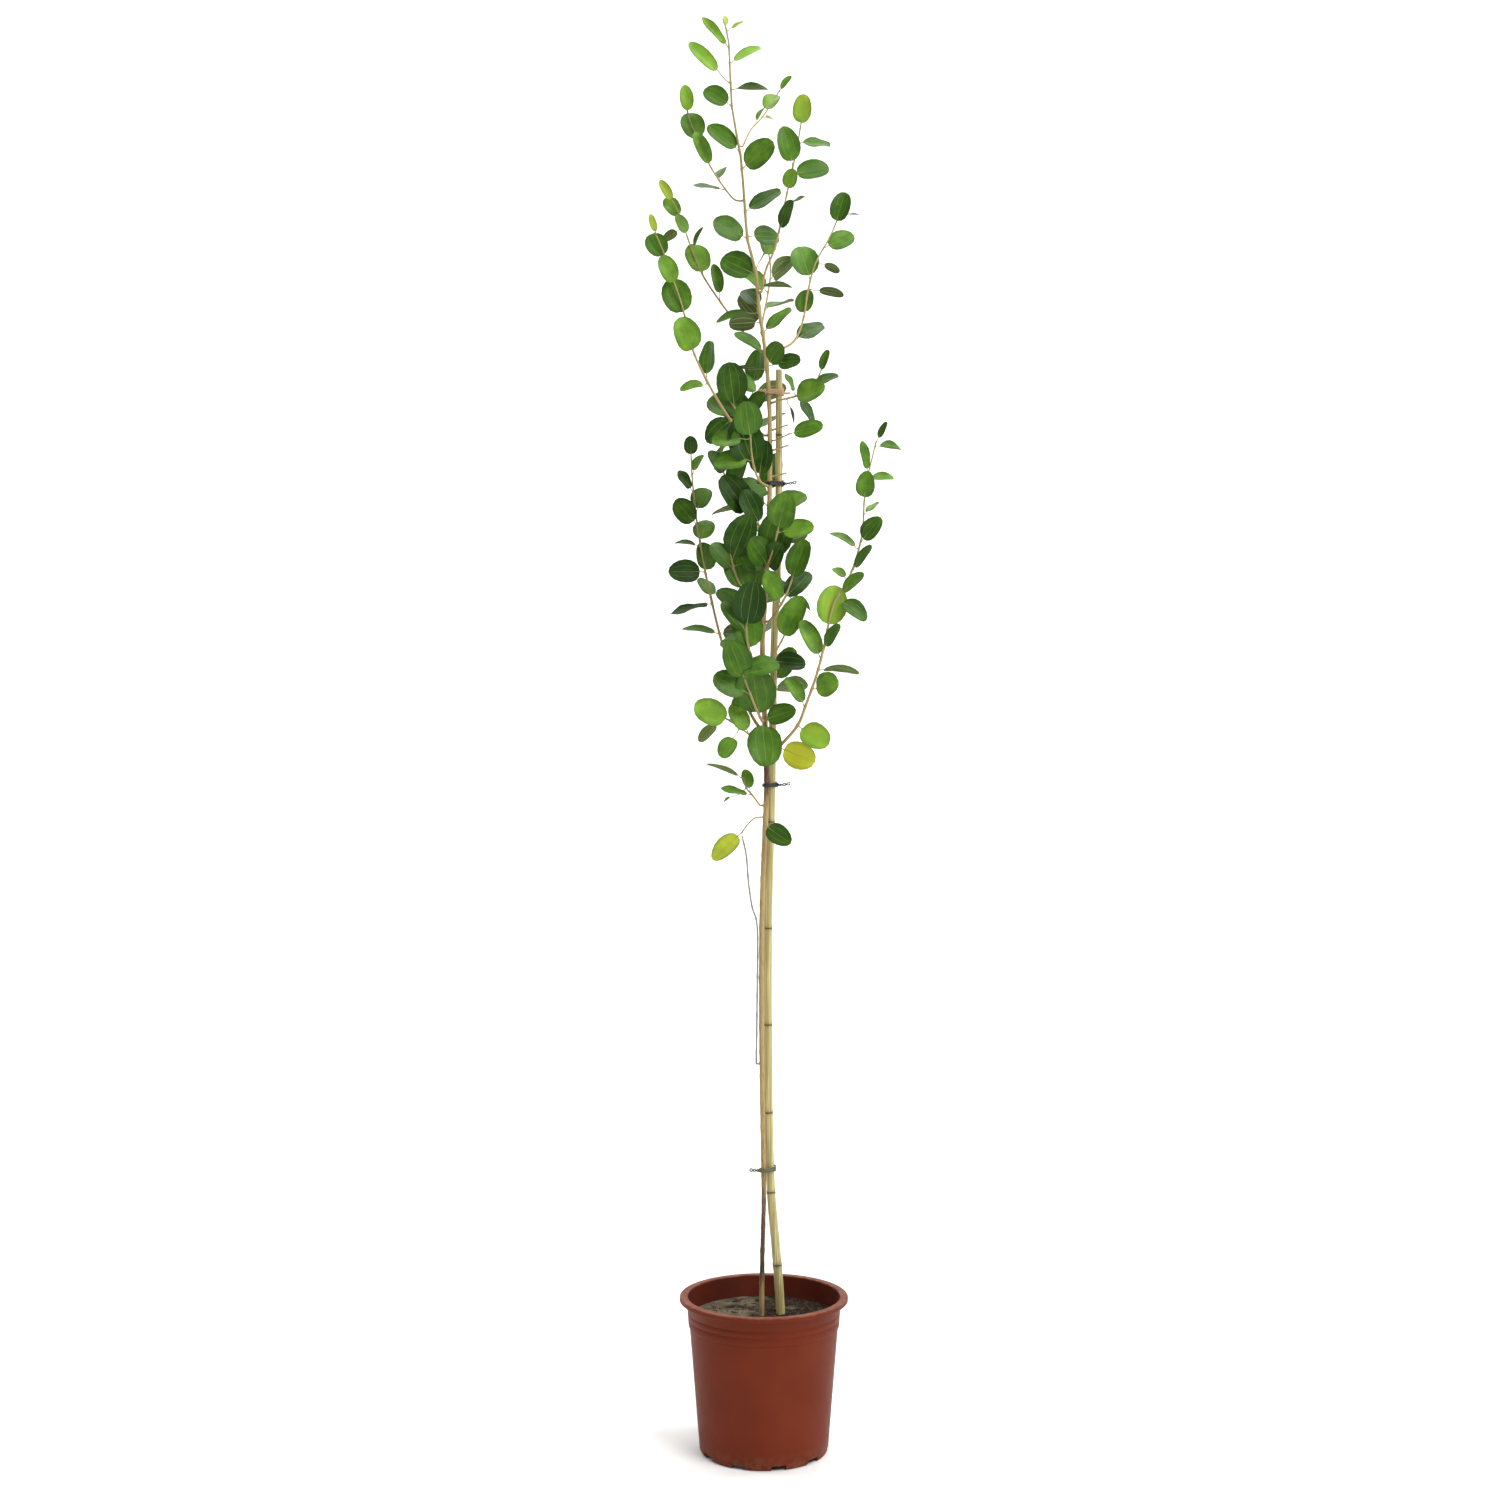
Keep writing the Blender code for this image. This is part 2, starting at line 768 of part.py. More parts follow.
def make_pot():
    step_z = collar_base()
    lip_radius = POT_TOP_RADIUS + LIP_OVERHANG
    lip_under = POT_HEIGHT - LIP_THICKNESS
    outside = [
        (0, 0),
        (POT_FOOT_RADIUS - FOOT_ROUND, 0),
        (POT_FOOT_RADIUS - FOOT_ROUND * 0.3, FOOT_ROUND * 0.3),
        (outer_radius(FOOT_ROUND), FOOT_ROUND),
        (outer_radius(step_z), step_z - COLLAR_STEP),
        (outer_radius(step_z) + COLLAR_STEP, step_z),
        (POT_TOP_RADIUS, lip_under),
        (lip_radius - LIP_THICKNESS, lip_under),
        (lip_radius - LIP_THICKNESS, POT_HEIGHT - LIP_DROP),
        (lip_radius, POT_HEIGHT - LIP_DROP),
        (lip_radius, POT_HEIGHT - LIP_ROUND),
        (lip_radius - LIP_ROUND, POT_HEIGHT),
    ]
    inside = inner_profile(0, POT_HEIGHT - LIP_ROUND)
    mouth = (inside[0][0] + LIP_ROUND, POT_HEIGHT)
    pot = turned("pot", [*outside, mouth, *inside, (0, POT_FLOOR)], "pot_plastic")
    boolean(pot, drainage_cutter(), "DIFFERENCE")
    return pot


def drainage_cutter():
    """Boxes that cut the drainage notches through the corner of wall and floor."""
    bm = bmesh.new()
    inner = POT_FOOT_RADIUS - 3 * POT_WALL - FOOT_ROUND
    outer = POT_FOOT_RADIUS + 2 * POT_WALL
    low = -NOTCH_HEIGHT
    for index in range(NOTCH_COUNT):
        angle = index * math.tau / NOTCH_COUNT + NOTCH_TURN
        out = Vector((math.cos(angle), math.sin(angle), 0))
        side = Vector((-out.y, out.x, 0)) * NOTCH_WIDTH / 2
        corners = [out * r + side * s + Vector((0, 0, low)) for r, s in ((inner, -1), (outer, -1), (outer, 1), (inner, 1))]
        base = bm.faces.new([bm.verts.new(corner) for corner in corners])
        raised = bmesh.ops.extrude_face_region(bm, geom=[base])["geom"]
        lifted = [item for item in raised if isinstance(item, bmesh.types.BMVert)]
        bmesh.ops.translate(bm, verts=lifted, vec=(0, 0, 2 * NOTCH_HEIGHT))
    return object_from_bmesh("drainage_cutter", bm, "pot_plastic")


def make_soil(stems):
    """Soil that fills the pot to the headspace, with a hole for each stem that stands in it."""
    surface = POT_HEIGHT - SOIL_HEADSPACE
    wall = inner_profile(SOIL_CLEARANCE, surface - SOIL_DOME)
    top = [(0, surface), (wall[0][0] * 0.5, surface - SOIL_DOME * 0.15), (wall[0][0] * 0.85, surface - SOIL_DOME * 0.6)]
    soil = turned("soil", [*top, *wall, (0, POT_FLOOR + SOIL_CLEARANCE)], "soil")
    for index, route in enumerate(stems):
        hole = round_stem(f"soil_hole_{index}", grown(route, SOIL_CLEARANCE), "soil", resolution=2)
        boolean(soil, hole, "DIFFERENCE")
    return soil


# ---- cane and ties ----


def cane_route():
    """The cane's route from the pot's floor, thicker at its knots."""
    bow = smooth_route([Vector((x, y, z, 0)) * MM for x, y, z in CANE_BOW], BOW_STEPS)
    foot = POT_FLOOR + SEAT_GAP
    top = foot + CANE_LENGTH
    heights = [(foot, 0.0)]
    spacing = CANE_FIRST_KNOT
    knot = foot + spacing
    while knot < top - CANE_FIRST_KNOT / 2:
        heights += [(knot - CANE_KNOT_HALF, 0.0), (knot, CANE_KNOT_RISE), (knot + CANE_KNOT_HALF, 0.0)]
        spacing *= CANE_KNOT_GROWTH
        knot += spacing
    heights.append((top, 0.0))
    route = []
    for z, rise in heights:
        place = at_height(bow, min(z, bow[-1].z))
        radius = CANE_FOOT_RADIUS + (CANE_TOP_RADIUS - CANE_FOOT_RADIUS) * (z - foot) / CANE_LENGTH
        route.append(Vector((place.x, place.y, z, radius + rise)))
    return route


def make_tie(name, share, tail_angle, slot, trunk, cane):
    """A wire tie round trunk and cane at a share of the cane's length, with its twisted knot and one loose end."""
    z = cane[0].z + share * CANE_LENGTH
    stems = [(at_height(trunk, z), 0.0), (at_height(cane, z), CANE_KNOT_RISE)]
    ring = []
    for index in range(TIE_POINTS):
        angle = index * math.tau / TIE_POINTS
        out = Vector((math.cos(angle), math.sin(angle)))
        place, rise = max(stems, key=lambda stem: stem[0].xy.dot(out) + stem[0].w)
        reach = place.w + rise + SEAT_GAP + 1.1 * TIE_RADIUS
        spot = place.xy + out * reach
        ring.append(Vector((spot.x, spot.y, z, TIE_RADIUS)))
    out = Vector((math.cos(math.radians(tail_angle)), math.sin(math.radians(tail_angle))))
    knot = max(ring, key=lambda point: point.xy.dot(out))
    body = round_stem(name, ring, slot, cyclic=True)
    bm = bmesh.new()
    bmesh.ops.create_icosphere(bm, subdivisions=1, radius=TIE_KNOT_RADIUS)
    centre = knot.xyz + Vector((out.x, out.y, 0)) * (TIE_KNOT_RADIUS - TIE_RADIUS * 0.6)
    bmesh.ops.translate(bm, verts=bm.verts, vec=centre)
    boolean(body, object_from_bmesh(name + "_knot", bm, slot), "UNION")
    end = centre + Vector((out.x, out.y, 0.25)) * TIE_TAIL
    tail = [Vector((*centre, TIE_RADIUS)), Vector((*end, TIE_RADIUS))]
    boolean(body, round_stem(name + "_tail", tail, slot), "UNION")


# ---- trunk, shoots and leaves ----


def blade_frame(base, centre, roll):
    """Unit vectors of a leaf: along its axis, across it, and out of its upper side."""
    axis = (centre - base).normalized()
    front = Vector((0, -1, 0))
    if abs(axis.dot(front)) > 0.97:
        front = Vector((0, 0, 1))
    front = (front - axis * axis.dot(front)).normalized()
    upward = axis.cross(front)
    if upward.z < 0:
        upward.negate()
    turn = math.radians(roll)
    normal = front * math.cos(turn) + upward * math.sin(turn)
    return axis, axis.cross(normal), normal


def add_leaf(bm, base, centre, leaf):
    """Adds one thin closed leaf with its stalk, from a point inside the twig."""
    length = leaf.length * MM
    axis, across, normal = blade_frame(base, centre, leaf.roll)
    stalk = (centre - base).length - length / 2
    sections = (
        (0.0, STALK_HALF_WIDTH),
        (stalk, STALK_HALF_WIDTH),
        (stalk + 0.30 * length, 0.46 * leaf.width * MM),
        (stalk + 0.68 * length, 0.40 * leaf.width * MM),
    )
    rings = []
    for along, half in sections:
        share = max(0.0, along - stalk) / length
        middle = base + axis * along - normal * LEAF_CURL * length * share**2
        raised = normal * LEAF_CUP * half if share > 0 else Vector()
        thick = normal * LEAF_HALF_THICKNESS
        corners = (middle - across * half + raised, middle + thick, middle + across * half + raised, middle - thick)
        rings.append([bm.verts.new(corner) for corner in corners])
    tip = bm.verts.new(base + axis * (stalk + length) - normal * LEAF_CURL * length)
    bm.faces.new(rings[0])
    for low, high in zip(rings, rings[1:]):
        for a in range(4):
            b = (a + 1) % 4
            bm.faces.new((low[a], low[b], high[b], high[a]))
    for a in range(4):
        bm.faces.new((rings[-1][a], rings[-1][(a + 1) % 4], tip))


def leaf_places(route, leaves):
    """(base, centre, leaf) for each leaf: seen from the front, it grows from the lowest point in its reach."""
    spans = zip(route, route[1:])
    dense = [low.lerp(high, step / REACH_STEPS) for low, high in spans for step in range(REACH_STEPS)]
    places = []
    for index, leaf in enumerate(leaves):
        spot = Vector((leaf.x * MM, leaf.z * MM))
        nearest = min(dense, key=lambda point: (point.xz - spot).length)
        spread = LEAF_SPREAD if index % 2 else -LEAF_SPREAD
        centre = Vector((spot.x, nearest.y + leaf.depth * MM + spread, spot.y))
        reach = (leaf.length / 2 + leaf.stalk) * MM
        within = [point for point in dense if (point.xz - spot).length <= IN_PLANE * reach]
        base = within[0] if within else min(dense, key=lambda point: (point.xyz - centre).length)
        if within:
            centre = base.xyz + (centre - base.xyz).normalized() * reach
        places.append((base.xyz, centre, leaf))
    return places


def with_leaves(twig, route, leaves):
    """Joins the leaves to the twig's solid."""
    bm = bmesh.new()
    for base, centre, leaf in leaf_places(route, leaves):
        add_leaf(bm, base, centre, leaf)
    boolean(twig, object_from_bmesh(twig.name + "_leaves", bm, "leaf"), "UNION")


def seated_route(trunk, seat, rows, radii):
    """A side shoot's route: it leaves the trunk level, a small gap from its surface, and then follows the rows."""
    start = at_height(trunk, seat * MM)
    rows = [Vector((x, y, z)) * MM for x, y, z in rows]
    out = Vector((rows[0].x - start.x, rows[0].y - start.y, 0)).normalized()
    first = start.xyz + out * (start.w + SEAT_GAP)
    second = start.xyz + out * (start.w + TWIG_STAND_OFF)
    places = [first, second, *rows]
    last = len(places) - 1
    thick, thin = radii
    tapered = [
        Vector((*place, (thick + (thin - thick) * index / last) * MM)) for index, place in enumerate(places)
    ]
    return [tapered[0], *smooth_route(tapered[1:], SHOOT_STEPS)]


def make_trunk(trunk):
    """The trunk and leader, with the leader's leaves and the pruned stubs."""
    body = round_stem("trunk", trunk, "bark", resolution=2)
    for height, tip in PRUNED_STUBS:
        start = at_height(trunk, height * MM)
        stub = [Vector((*start.xyz, STUB_RADIUS)), Vector((*(Vector(tip) * MM), STUB_RADIUS))]
        boolean(body, round_stem("stub", stub, "bark"), "UNION")
    leader = [point for point in trunk if point.z > LEADER_FOOT * MM]
    with_leaves(body, leader, LEADER_LEAVES)
    return body


def make_shoot(shoot, trunk):
    route = seated_route(trunk, shoot.seat, shoot.route, shoot.radii)
    twig = round_stem(shoot.name, route, "bark")
    with_leaves(twig, route[1:], shoot.leaves)
    return twig


def main():
    clear_scene()
    trunk = smooth_route([Vector((x, y, z, radius)) * MM for x, y, z, radius in TRUNK_ROUTE], TRUNK_STEPS)
    cane = cane_route()
    make_pot()
    make_soil([trunk, cane])
    round_stem("cane", cane, "bamboo", resolution=2)
    make_trunk(trunk)
    for name, share, tail_angle, slot in TIES:
        make_tie(name, share, tail_angle, slot, trunk, cane)
    dry = seated_route(trunk, DRY_TWIG_SEAT, DRY_TWIG_ROUTE, DRY_TWIG_RADII)
    round_stem("dry_twig", dry, "dry_wood")
    for shoot in SHOOTS:
        make_shoot(shoot, trunk)


main()
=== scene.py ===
"""Visual model of a potted jujube tree: a thin whip with leafy side shoots, tied to a cane, in a nursery pot.

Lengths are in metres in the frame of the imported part. Only the rows of the plant's plan are in millimetres.
Every sub-assembly is a class that models its pieces and dresses them in finishes made from nodes.
"""

from __future__ import annotations

import json
import logging
import math
import random
from dataclasses import dataclass
from enum import Enum
from typing import Any, Sequence

import bpy
from mathutils import Matrix, Vector

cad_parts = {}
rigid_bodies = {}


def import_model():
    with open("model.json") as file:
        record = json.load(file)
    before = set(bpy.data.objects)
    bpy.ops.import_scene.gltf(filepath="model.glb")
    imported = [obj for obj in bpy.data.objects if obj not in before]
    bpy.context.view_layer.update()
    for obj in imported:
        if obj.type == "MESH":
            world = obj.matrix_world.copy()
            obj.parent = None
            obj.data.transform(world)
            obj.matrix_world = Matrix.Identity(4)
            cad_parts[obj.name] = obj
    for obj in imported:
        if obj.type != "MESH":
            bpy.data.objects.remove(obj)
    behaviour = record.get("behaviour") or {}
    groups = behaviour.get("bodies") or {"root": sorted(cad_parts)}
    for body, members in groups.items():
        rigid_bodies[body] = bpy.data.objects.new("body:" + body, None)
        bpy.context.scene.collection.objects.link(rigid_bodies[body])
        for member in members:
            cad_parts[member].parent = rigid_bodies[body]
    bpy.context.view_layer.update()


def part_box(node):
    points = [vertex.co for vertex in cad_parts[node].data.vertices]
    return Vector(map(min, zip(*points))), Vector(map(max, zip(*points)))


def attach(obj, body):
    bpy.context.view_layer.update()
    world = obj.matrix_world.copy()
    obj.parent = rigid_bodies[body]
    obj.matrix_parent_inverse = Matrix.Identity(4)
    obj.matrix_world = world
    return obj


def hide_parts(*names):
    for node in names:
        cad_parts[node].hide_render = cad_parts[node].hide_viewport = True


for leftover in list(bpy.data.objects):
    bpy.data.objects.remove(leftover)
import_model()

log = logging.getLogger("jujube")

MM = 0.001

# How the twigs and leaves sit, as in the part
SEAT_GAP = 0.0003
TWIG_STAND_OFF = 0.005
LEAF_SPREAD = 0.009
REACH_STEPS = 6
IN_PLANE = 0.92
BOW_STEPS = 4
TRUNK_STEPS = 2
SHOOT_STEPS = 4

# Heights of the pot and of the soil surface at its middle
POT_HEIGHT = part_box("pot")[1][2]
SOIL_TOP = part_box("soil")[1][2]

# Routes of the trunk: x, y, z and radius
TRUNK_ROUTE = (
    (-4, -6, 110, 2.6),
    (-3, -6, 183, 3.6),
    (-2, -5, 270, 3.1),
    (0, -5, 340, 3.1),
    (-1, -5, 420, 3.4),
    (-3, -5, 560, 3.5),
    (-3, -5, 720, 3.5),
    (0, -5, 815, 3.5),
    (4, -5, 915, 3.7),
    (1, -5, 1010, 3.6),
    (-2, -5, 1110, 3.5),
    (5, -5, 1220, 3.4),
    (8, -5, 1310, 3.3),
    (8, -5, 1420, 3.0),
    (3, -4, 1500, 2.6),
    (-6, -2, 1562, 2.4),
    (-11, 0, 1617, 2.2),
    (-22, 2, 1660, 2.0),
    (-26, 2, 1705, 1.9),
    (-32, 0, 1777, 1.7),
    (-44, -3, 1844, 1.5),
    (-48, -4, 1930, 1.2),
    (-56, -6, 1962, 0.8),
)
LEADER_FOOT = 1420
# The cane leans and bows a little: its x and y at a height
CANE_BOW = (
    (26, 4, 0),
    (23, 4, 183),
    (17, 5, 270),
    (10, 6, 350),
    (7, 6, 440),
    (6, 6, 560),
    (6, 6, 720),
    (11, 6, 915),
    (14, 6, 1100),
    (20, 5, 1250),
    (21, 5, 1490),
)
# Pruned side stubs: height on the trunk, then the tip
PRUNED_STUBS = ((1398, (33, -12, 1405)), (1370, (34, -12, 1377)), (1334, (31, -12, 1339)))


@dataclass(frozen=True)
class Leaf:
    """One leaf: its blade's centre and size, its depth from the twig, its roll and the length of its stalk.

    At roll 0 the upper side faces the front, at 90 it faces up, and at 180 the underside faces the front.
    """

    x: float
    z: float
    length: float
    width: float
    depth: float = 0.0
    roll: float = 20.0
    stalk: float = 8.0


@dataclass(frozen=True)
class Shoot:
    """One side shoot: the height where it sits on the trunk, its route, its thickness and its leaves."""

    name: str
    seat: float
    route: tuple[tuple[float, float, float], ...]
    radii: tuple[float, float]
    leaves: tuple[Leaf, ...]


LEADER_LEAVES = (
    Leaf(-67, 1944, 46, 12, 0, 10),
    Leaf(-53, 1964, 20, 8, 0, 10),
    Leaf(-38, 1953, 18, 7, 4, 30),
    Leaf(-24, 1920, 48, 15, 0, 25),
    Leaf(-80, 1905, 52, 20, -6, 10, 26),
    Leaf(-61, 1856, 38, 28, -8, 10),
    Leaf(-19, 1870, 42, 16, 6, 60),
    Leaf(-53, 1801, 50, 28, -8, 20),
    Leaf(-7, 1775, 50, 35, -8, 5),
    Leaf(0, 1720, 54, 24, -2, 20),
    Leaf(-47, 1674, 46, 33, -4, 15),
    Leaf(5, 1671, 40, 32, 4, 15),
    Leaf(-2, 1640, 34, 14, 12, 84),
    Leaf(-35, 1627, 48, 40, -6, 10),
    Leaf(15, 1604, 42, 16, 18, 86),
    Leaf(-46, 1560, 46, 20, 0, 40, 16),
    Leaf(-27, 1548, 36, 26, 12, 150),
    Leaf(17, 1552, 48, 20, -4, 30),
    Leaf(-20, 1520, 44, 22, -8, 40),
    Leaf(-22, 1488, 44, 18, 2, 85),
    Leaf(17, 1503, 36, 30, -14, 10),
    Leaf(-18, 1587, 40, 28, 4, 15),
    Leaf(34, 1490, 34, 24, -10, 15),
)

SHOOTS = (
    Shoot(
        "crown_left_shoot",
        1716,
        (
            (-42, 12, 1721),
            (-58, 20, 1743),
            (-75, 28, 1772),
            (-89, 34, 1802),
            (-103, 38, 1838),
            (-109, 40, 1859),
        ),
        (1.5, 0.8),
        (
            Leaf(-107, 1866, 34, 20, 0, 5),
            Leaf(-98, 1829, 42, 34, -8, 10),
            Leaf(-84, 1793, 46, 24, -4, 30),
            Leaf(-59, 1770, 32, 18, 4, 35),
            Leaf(-77, 1739, 38, 18, 2, 60),
        ),
    ),
    Shoot(
        "crown_right_shoot",
        1790,
        ((-18, 12, 1816), (-3, 24, 1836), (12, 34, 1861), (23, 40, 1881)),
        (1.2, 0.8),
        (
            Leaf(30, 1888, 22, 9, 0, 20),
            Leaf(11, 1866, 36, 23, -6, 15),
            Leaf(-6, 1840, 22, 13, 4, 60),
            Leaf(15, 1843, 22, 12, 6, 40),
        ),
    ),
    Shoot(
        "upper_right_shoot",
        1588,
        ((2, -12, 1615), (15, -24, 1644), (25, -36, 1686), (35, -44, 1731), (44, -50, 1770), (50, -52, 1806)),
        (1.8, 0.9),
        (
            Leaf(51, 1820, 37, 26, -2, 5),
            Leaf(72, 1783, 42, 18, 2, 25),
            Leaf(33, 1774, 44, 32, -6, 10),
            Leaf(64, 1745, 46, 28, -4, 10),
            Leaf(35, 1731, 26, 22, 6, 20),
            Leaf(45, 1711, 34, 13, 10, 80),
            Leaf(31, 1688, 42, 19, -10, 15),
        ),
    ),
    Shoot(
        "right_shoot",
        1496,
        (
            (20, 8, 1510),
            (42, 20, 1526),
            (55, 30, 1558),
            (62, 38, 1601),
            (73, 44, 1641),
            (92, 48, 1676),
            (106, 50, 1709),
        ),
        (2.0, 0.9),
        (
            Leaf(107, 1717, 40, 28, 0, 5),
            Leaf(106, 1673, 40, 30, -8, 15),
            Leaf(126, 1710, 18, 7, 4, 80),
            Leaf(58, 1643, 50, 40, -8, 5),
            Leaf(96, 1633, 24, 12, 8, 150),
            Leaf(57, 1586, 38, 28, -6, 20),
            Leaf(95, 1597, 36, 14, 4, 140),
            Leaf(66, 1546, 48, 30, -2, 25),
        ),
    ),
    Shoot(
        "upper_left_shoot",
        1508,
        (
            (-33, 18, 1544),
            (-67, 34, 1593),
            (-89, 42, 1630),
            (-103, 48, 1667),
            (-118, 52, 1710),
            (-136, 54, 1743),
        ),
        (2.0, 0.8),
        (
            Leaf(-136, 1742, 30, 14, 0, 5),
            Leaf(-127, 1721, 34, 22, -6, 10),
            Leaf(-113, 1694, 28, 20, 2, 30),
            Leaf(-131, 1685, 24, 14, 6, 150),
            Leaf(-93, 1676, 28, 14, 4, 60),
            Leaf(-91, 1646, 46, 36, -8, 20, 12),
            Leaf(-64, 1612, 40, 20, -4, 35, 14),
        ),
    ),
    Shoot(
        "far_left_shoot",
        1360,
        (
            (-26, -18, 1383),
            (-50, -30, 1415),
            (-71, -40, 1448),
            (-91, -48, 1487),
            (-100, -52, 1513),
            (-109, -55, 1553),
            (-122, -58, 1592),
            (-137, -60, 1633),
            (-147, -60, 1656),
        ),
        (2.4, 0.9),
        (
            Leaf(-149, 1666, 24, 10, 0, 5),
            Leaf(-144, 1639, 36, 30, -6, 5),
            Leaf(-128, 1604, 38, 26, 0, 15),
            Leaf(-117, 1570, 48, 40, -8, 5),
            Leaf(-104, 1519, 46, 38, -4, 15),
            Leaf(-77, 1489, 46, 26, -4, 30),
            Leaf(-97, 1452, 32, 16, 2, 30),
        ),
    ),
    Shoot(
        "cane_top_shoot",
        1436,
        ((20, -14, 1438), (47, -26, 1443), (67, -34, 1456), (79, -38, 1477)),
        (1.8, 0.8),
        (
            Leaf(81, 1487, 28, 12, 0, 20),
            Leaf(83, 1464, 34, 20, -4, 40),
            Leaf(66, 1448, 46, 32, -10, 10),
            Leaf(59, 1424, 34, 20, -4, 40),
            Leaf(36, 1461, 26, 14, 4, 60),
            Leaf(40, 1419, 26, 12, 6, 75),
        ),
    ),
    Shoot(
        "cane_side_leaf",
        1384,
        ((24, -16, 1387), (36, -20, 1392)),
        (1.1, 0.9),
        (
            Leaf(59, 1397, 42, 24, 0, 10),
        ),
    ),
    Shoot(
        "centre_left_shoot",
        1392,
        ((-16, 8, 1406), (-36, 14, 1427), (-52, 18, 1453), (-56, 20, 1474)),
        (1.8, 0.9),
        (
            Leaf(-44, 1465, 54, 44, -6, 10),
            Leaf(-57, 1439, 46, 38, -4, 15),
            Leaf(-63, 1402, 42, 34, 0, 20),
            Leaf(-65, 1369, 38, 16, 2, 60),
            Leaf(-10, 1440, 30, 24, -6, 20),
            Leaf(-22, 1471, 34, 28, 8, 20),
            Leaf(-34, 1434, 42, 36, 10, 15),
        ),
    ),
    Shoot(
        "centre_front_shoot",
        1322,
        ((-6, -24, 1327), (-14, -42, 1344), (-18, -54, 1372), (-18, -60, 1395)),
        (2.0, 1.0),
        (
            Leaf(-22, 1405, 46, 40, -4, 10),
            Leaf(-24, 1375, 60, 50, -8, 5),
            Leaf(-43, 1352, 44, 32, 6, 25),
            Leaf(-4, 1356, 46, 36, 6, 25),
            Leaf(-51, 1379, 40, 28, 8, 30),
        ),
    ),
    Shoot(
        "centre_fork_shoot",
        1262,
        ((-18, 6, 1281), (-38, 10, 1301), (-52, 12, 1332), (-58, 14, 1358)),
        (2.0, 0.9),
        (
            Leaf(-62, 1356, 34, 24, -2, 30),
            Leaf(-38, 1345, 54, 30, -6, 30),
            Leaf(-38, 1311, 58, 42, -10, 15),
            Leaf(-56, 1297, 42, 18, 4, 60),
            Leaf(-16, 1293, 48, 32, -8, 25),
            Leaf(-12, 1325, 46, 36, 8, 20),
        ),
    ),
    Shoot(
        "middle_front_shoot",
        1206,
        ((6, -24, 1214), (13, -42, 1234), (19, -54, 1258), (23, -58, 1278)),
        (2.2, 1.0),
        (
            Leaf(24, 1281, 48, 40, -4, 15),
            Leaf(16, 1252, 62, 50, 4, 10),
            Leaf(-10, 1235, 46, 38, -6, 20),
            Leaf(8, 1213, 46, 34, -10, 30),
            Leaf(44, 1258, 42, 28, 8, 18),
        ),
    ),
    Shoot(
        "middle_left_shoot",
        1150,
        ((-16, -14, 1167), (-34, -20, 1188), (-44, -24, 1218), (-48, -26, 1243)),
        (2.2, 1.0),
        (
            Leaf(-33, 1248, 58, 44, -2, 10),
            Leaf(-33, 1205, 54, 44, -6, 12),
            Leaf(-56, 1224, 42, 30, 4, 30),
            Leaf(-14, 1220, 46, 36, 8, 20),
        ),
    ),
    Shoot(
        "middle_right_shoot",
        1136,
        ((16, -16, 1147), (30, -16, 1171), (40, -12, 1199), (44, -10, 1217)),
        (2.0, 1.0),
        (
            Leaf(46, 1219, 52, 32, -4, 15),
            Leaf(46, 1189, 52, 30, -4, 20),
            Leaf(12, 1185, 46, 30, -10, 30),
            Leaf(58, 1160, 24, 14, 6, 60),
        ),
    ),
    Shoot(
        "left_shoot",
        988,
        (
            (-18, 14, 1010),
            (-40, 28, 1057),
            (-59, 40, 1113),
            (-73, 50, 1170),
            (-85, 56, 1226),
            (-94, 60, 1283),
            (-100, 62, 1339),
            (-102, 62, 1377),
        ),
        (2.6, 0.9),
        (
            Leaf(-102, 1387, 26, 20, 0, 5),
            Leaf(-94, 1364, 28, 16, -4, 40),
            Leaf(-109, 1338, 30, 18, 0, 40),
            Leaf(-88, 1314, 36, 30, -4, 15),
            Leaf(-111, 1295, 42, 32, -8, 10),
            Leaf(-84, 1272, 36, 32, 0, 15),
            Leaf(-107, 1252, 28, 14, 6, 60),
            Leaf(-81, 1230, 42, 32, -6, 25),
            Leaf(-109, 1210, 44, 34, -4, 10),
            Leaf(-81, 1194, 38, 28, 8, 40),
            Leaf(-104, 1159, 54, 17, 0, 62),
            Leaf(-91, 1130, 52, 19, 2, 58),
        ),
    ),
    Shoot(
        "outer_right_shoot",
        946,
        (
            (12, -16, 956),
            (28, -24, 972),
            (46, -34, 994),
            (56, -42, 1019),
            (71, -52, 1062),
            (81, -58, 1101),
            (93, -62, 1155),
            (114, -64, 1191),
            (131, -64, 1247),
            (136, -62, 1311),
            (151, -58, 1376),
        ),
        (2.6, 0.9),
        (
            Leaf(158, 1389, 24, 10, 0, 20),
            Leaf(171, 1371, 34, 14, 0, 45),
            Leaf(136, 1353, 38, 15, 2, 35),
            Leaf(161, 1329, 36, 14, 2, 30),
            Leaf(135, 1314, 34, 26, -6, 10),
            Leaf(148, 1291, 30, 13, 6, 45),
            Leaf(141, 1255, 36, 26, -4, 20),
            Leaf(107, 1246, 42, 17, 2, 52),
            Leaf(130, 1218, 38, 17, -2, 40),
            Leaf(100, 1202, 26, 14, 4, 30),
            Leaf(119, 1186, 40, 19, -8, 35),
            Leaf(91, 1152, 54, 42, -8, 0),
            Leaf(122, 1150, 38, 26, 2, 30),
            Leaf(64, 1111, 54, 26, 0, 18),
            Leaf(90, 1114, 36, 18, -2, 30),
            Leaf(103, 1069, 50, 22, 2, 114),
            Leaf(86, 1049, 36, 34, -6, 10),
            Leaf(44, 1041, 42, 22, -2, 25),
            Leaf(69, 979, 44, 36, -4, 5),
            Leaf(46, 953, 46, 38, -10, -10),
        ),
    ),
    Shoot(
        "lower_centre_shoot",
        1066,
        ((-12, -22, 1077), (-22, -32, 1102), (-24, -38, 1132), (-20, -42, 1159)),
        (2.2, 1.0),
        (
            Leaf(-19, 1158, 58, 46, -4, 5),
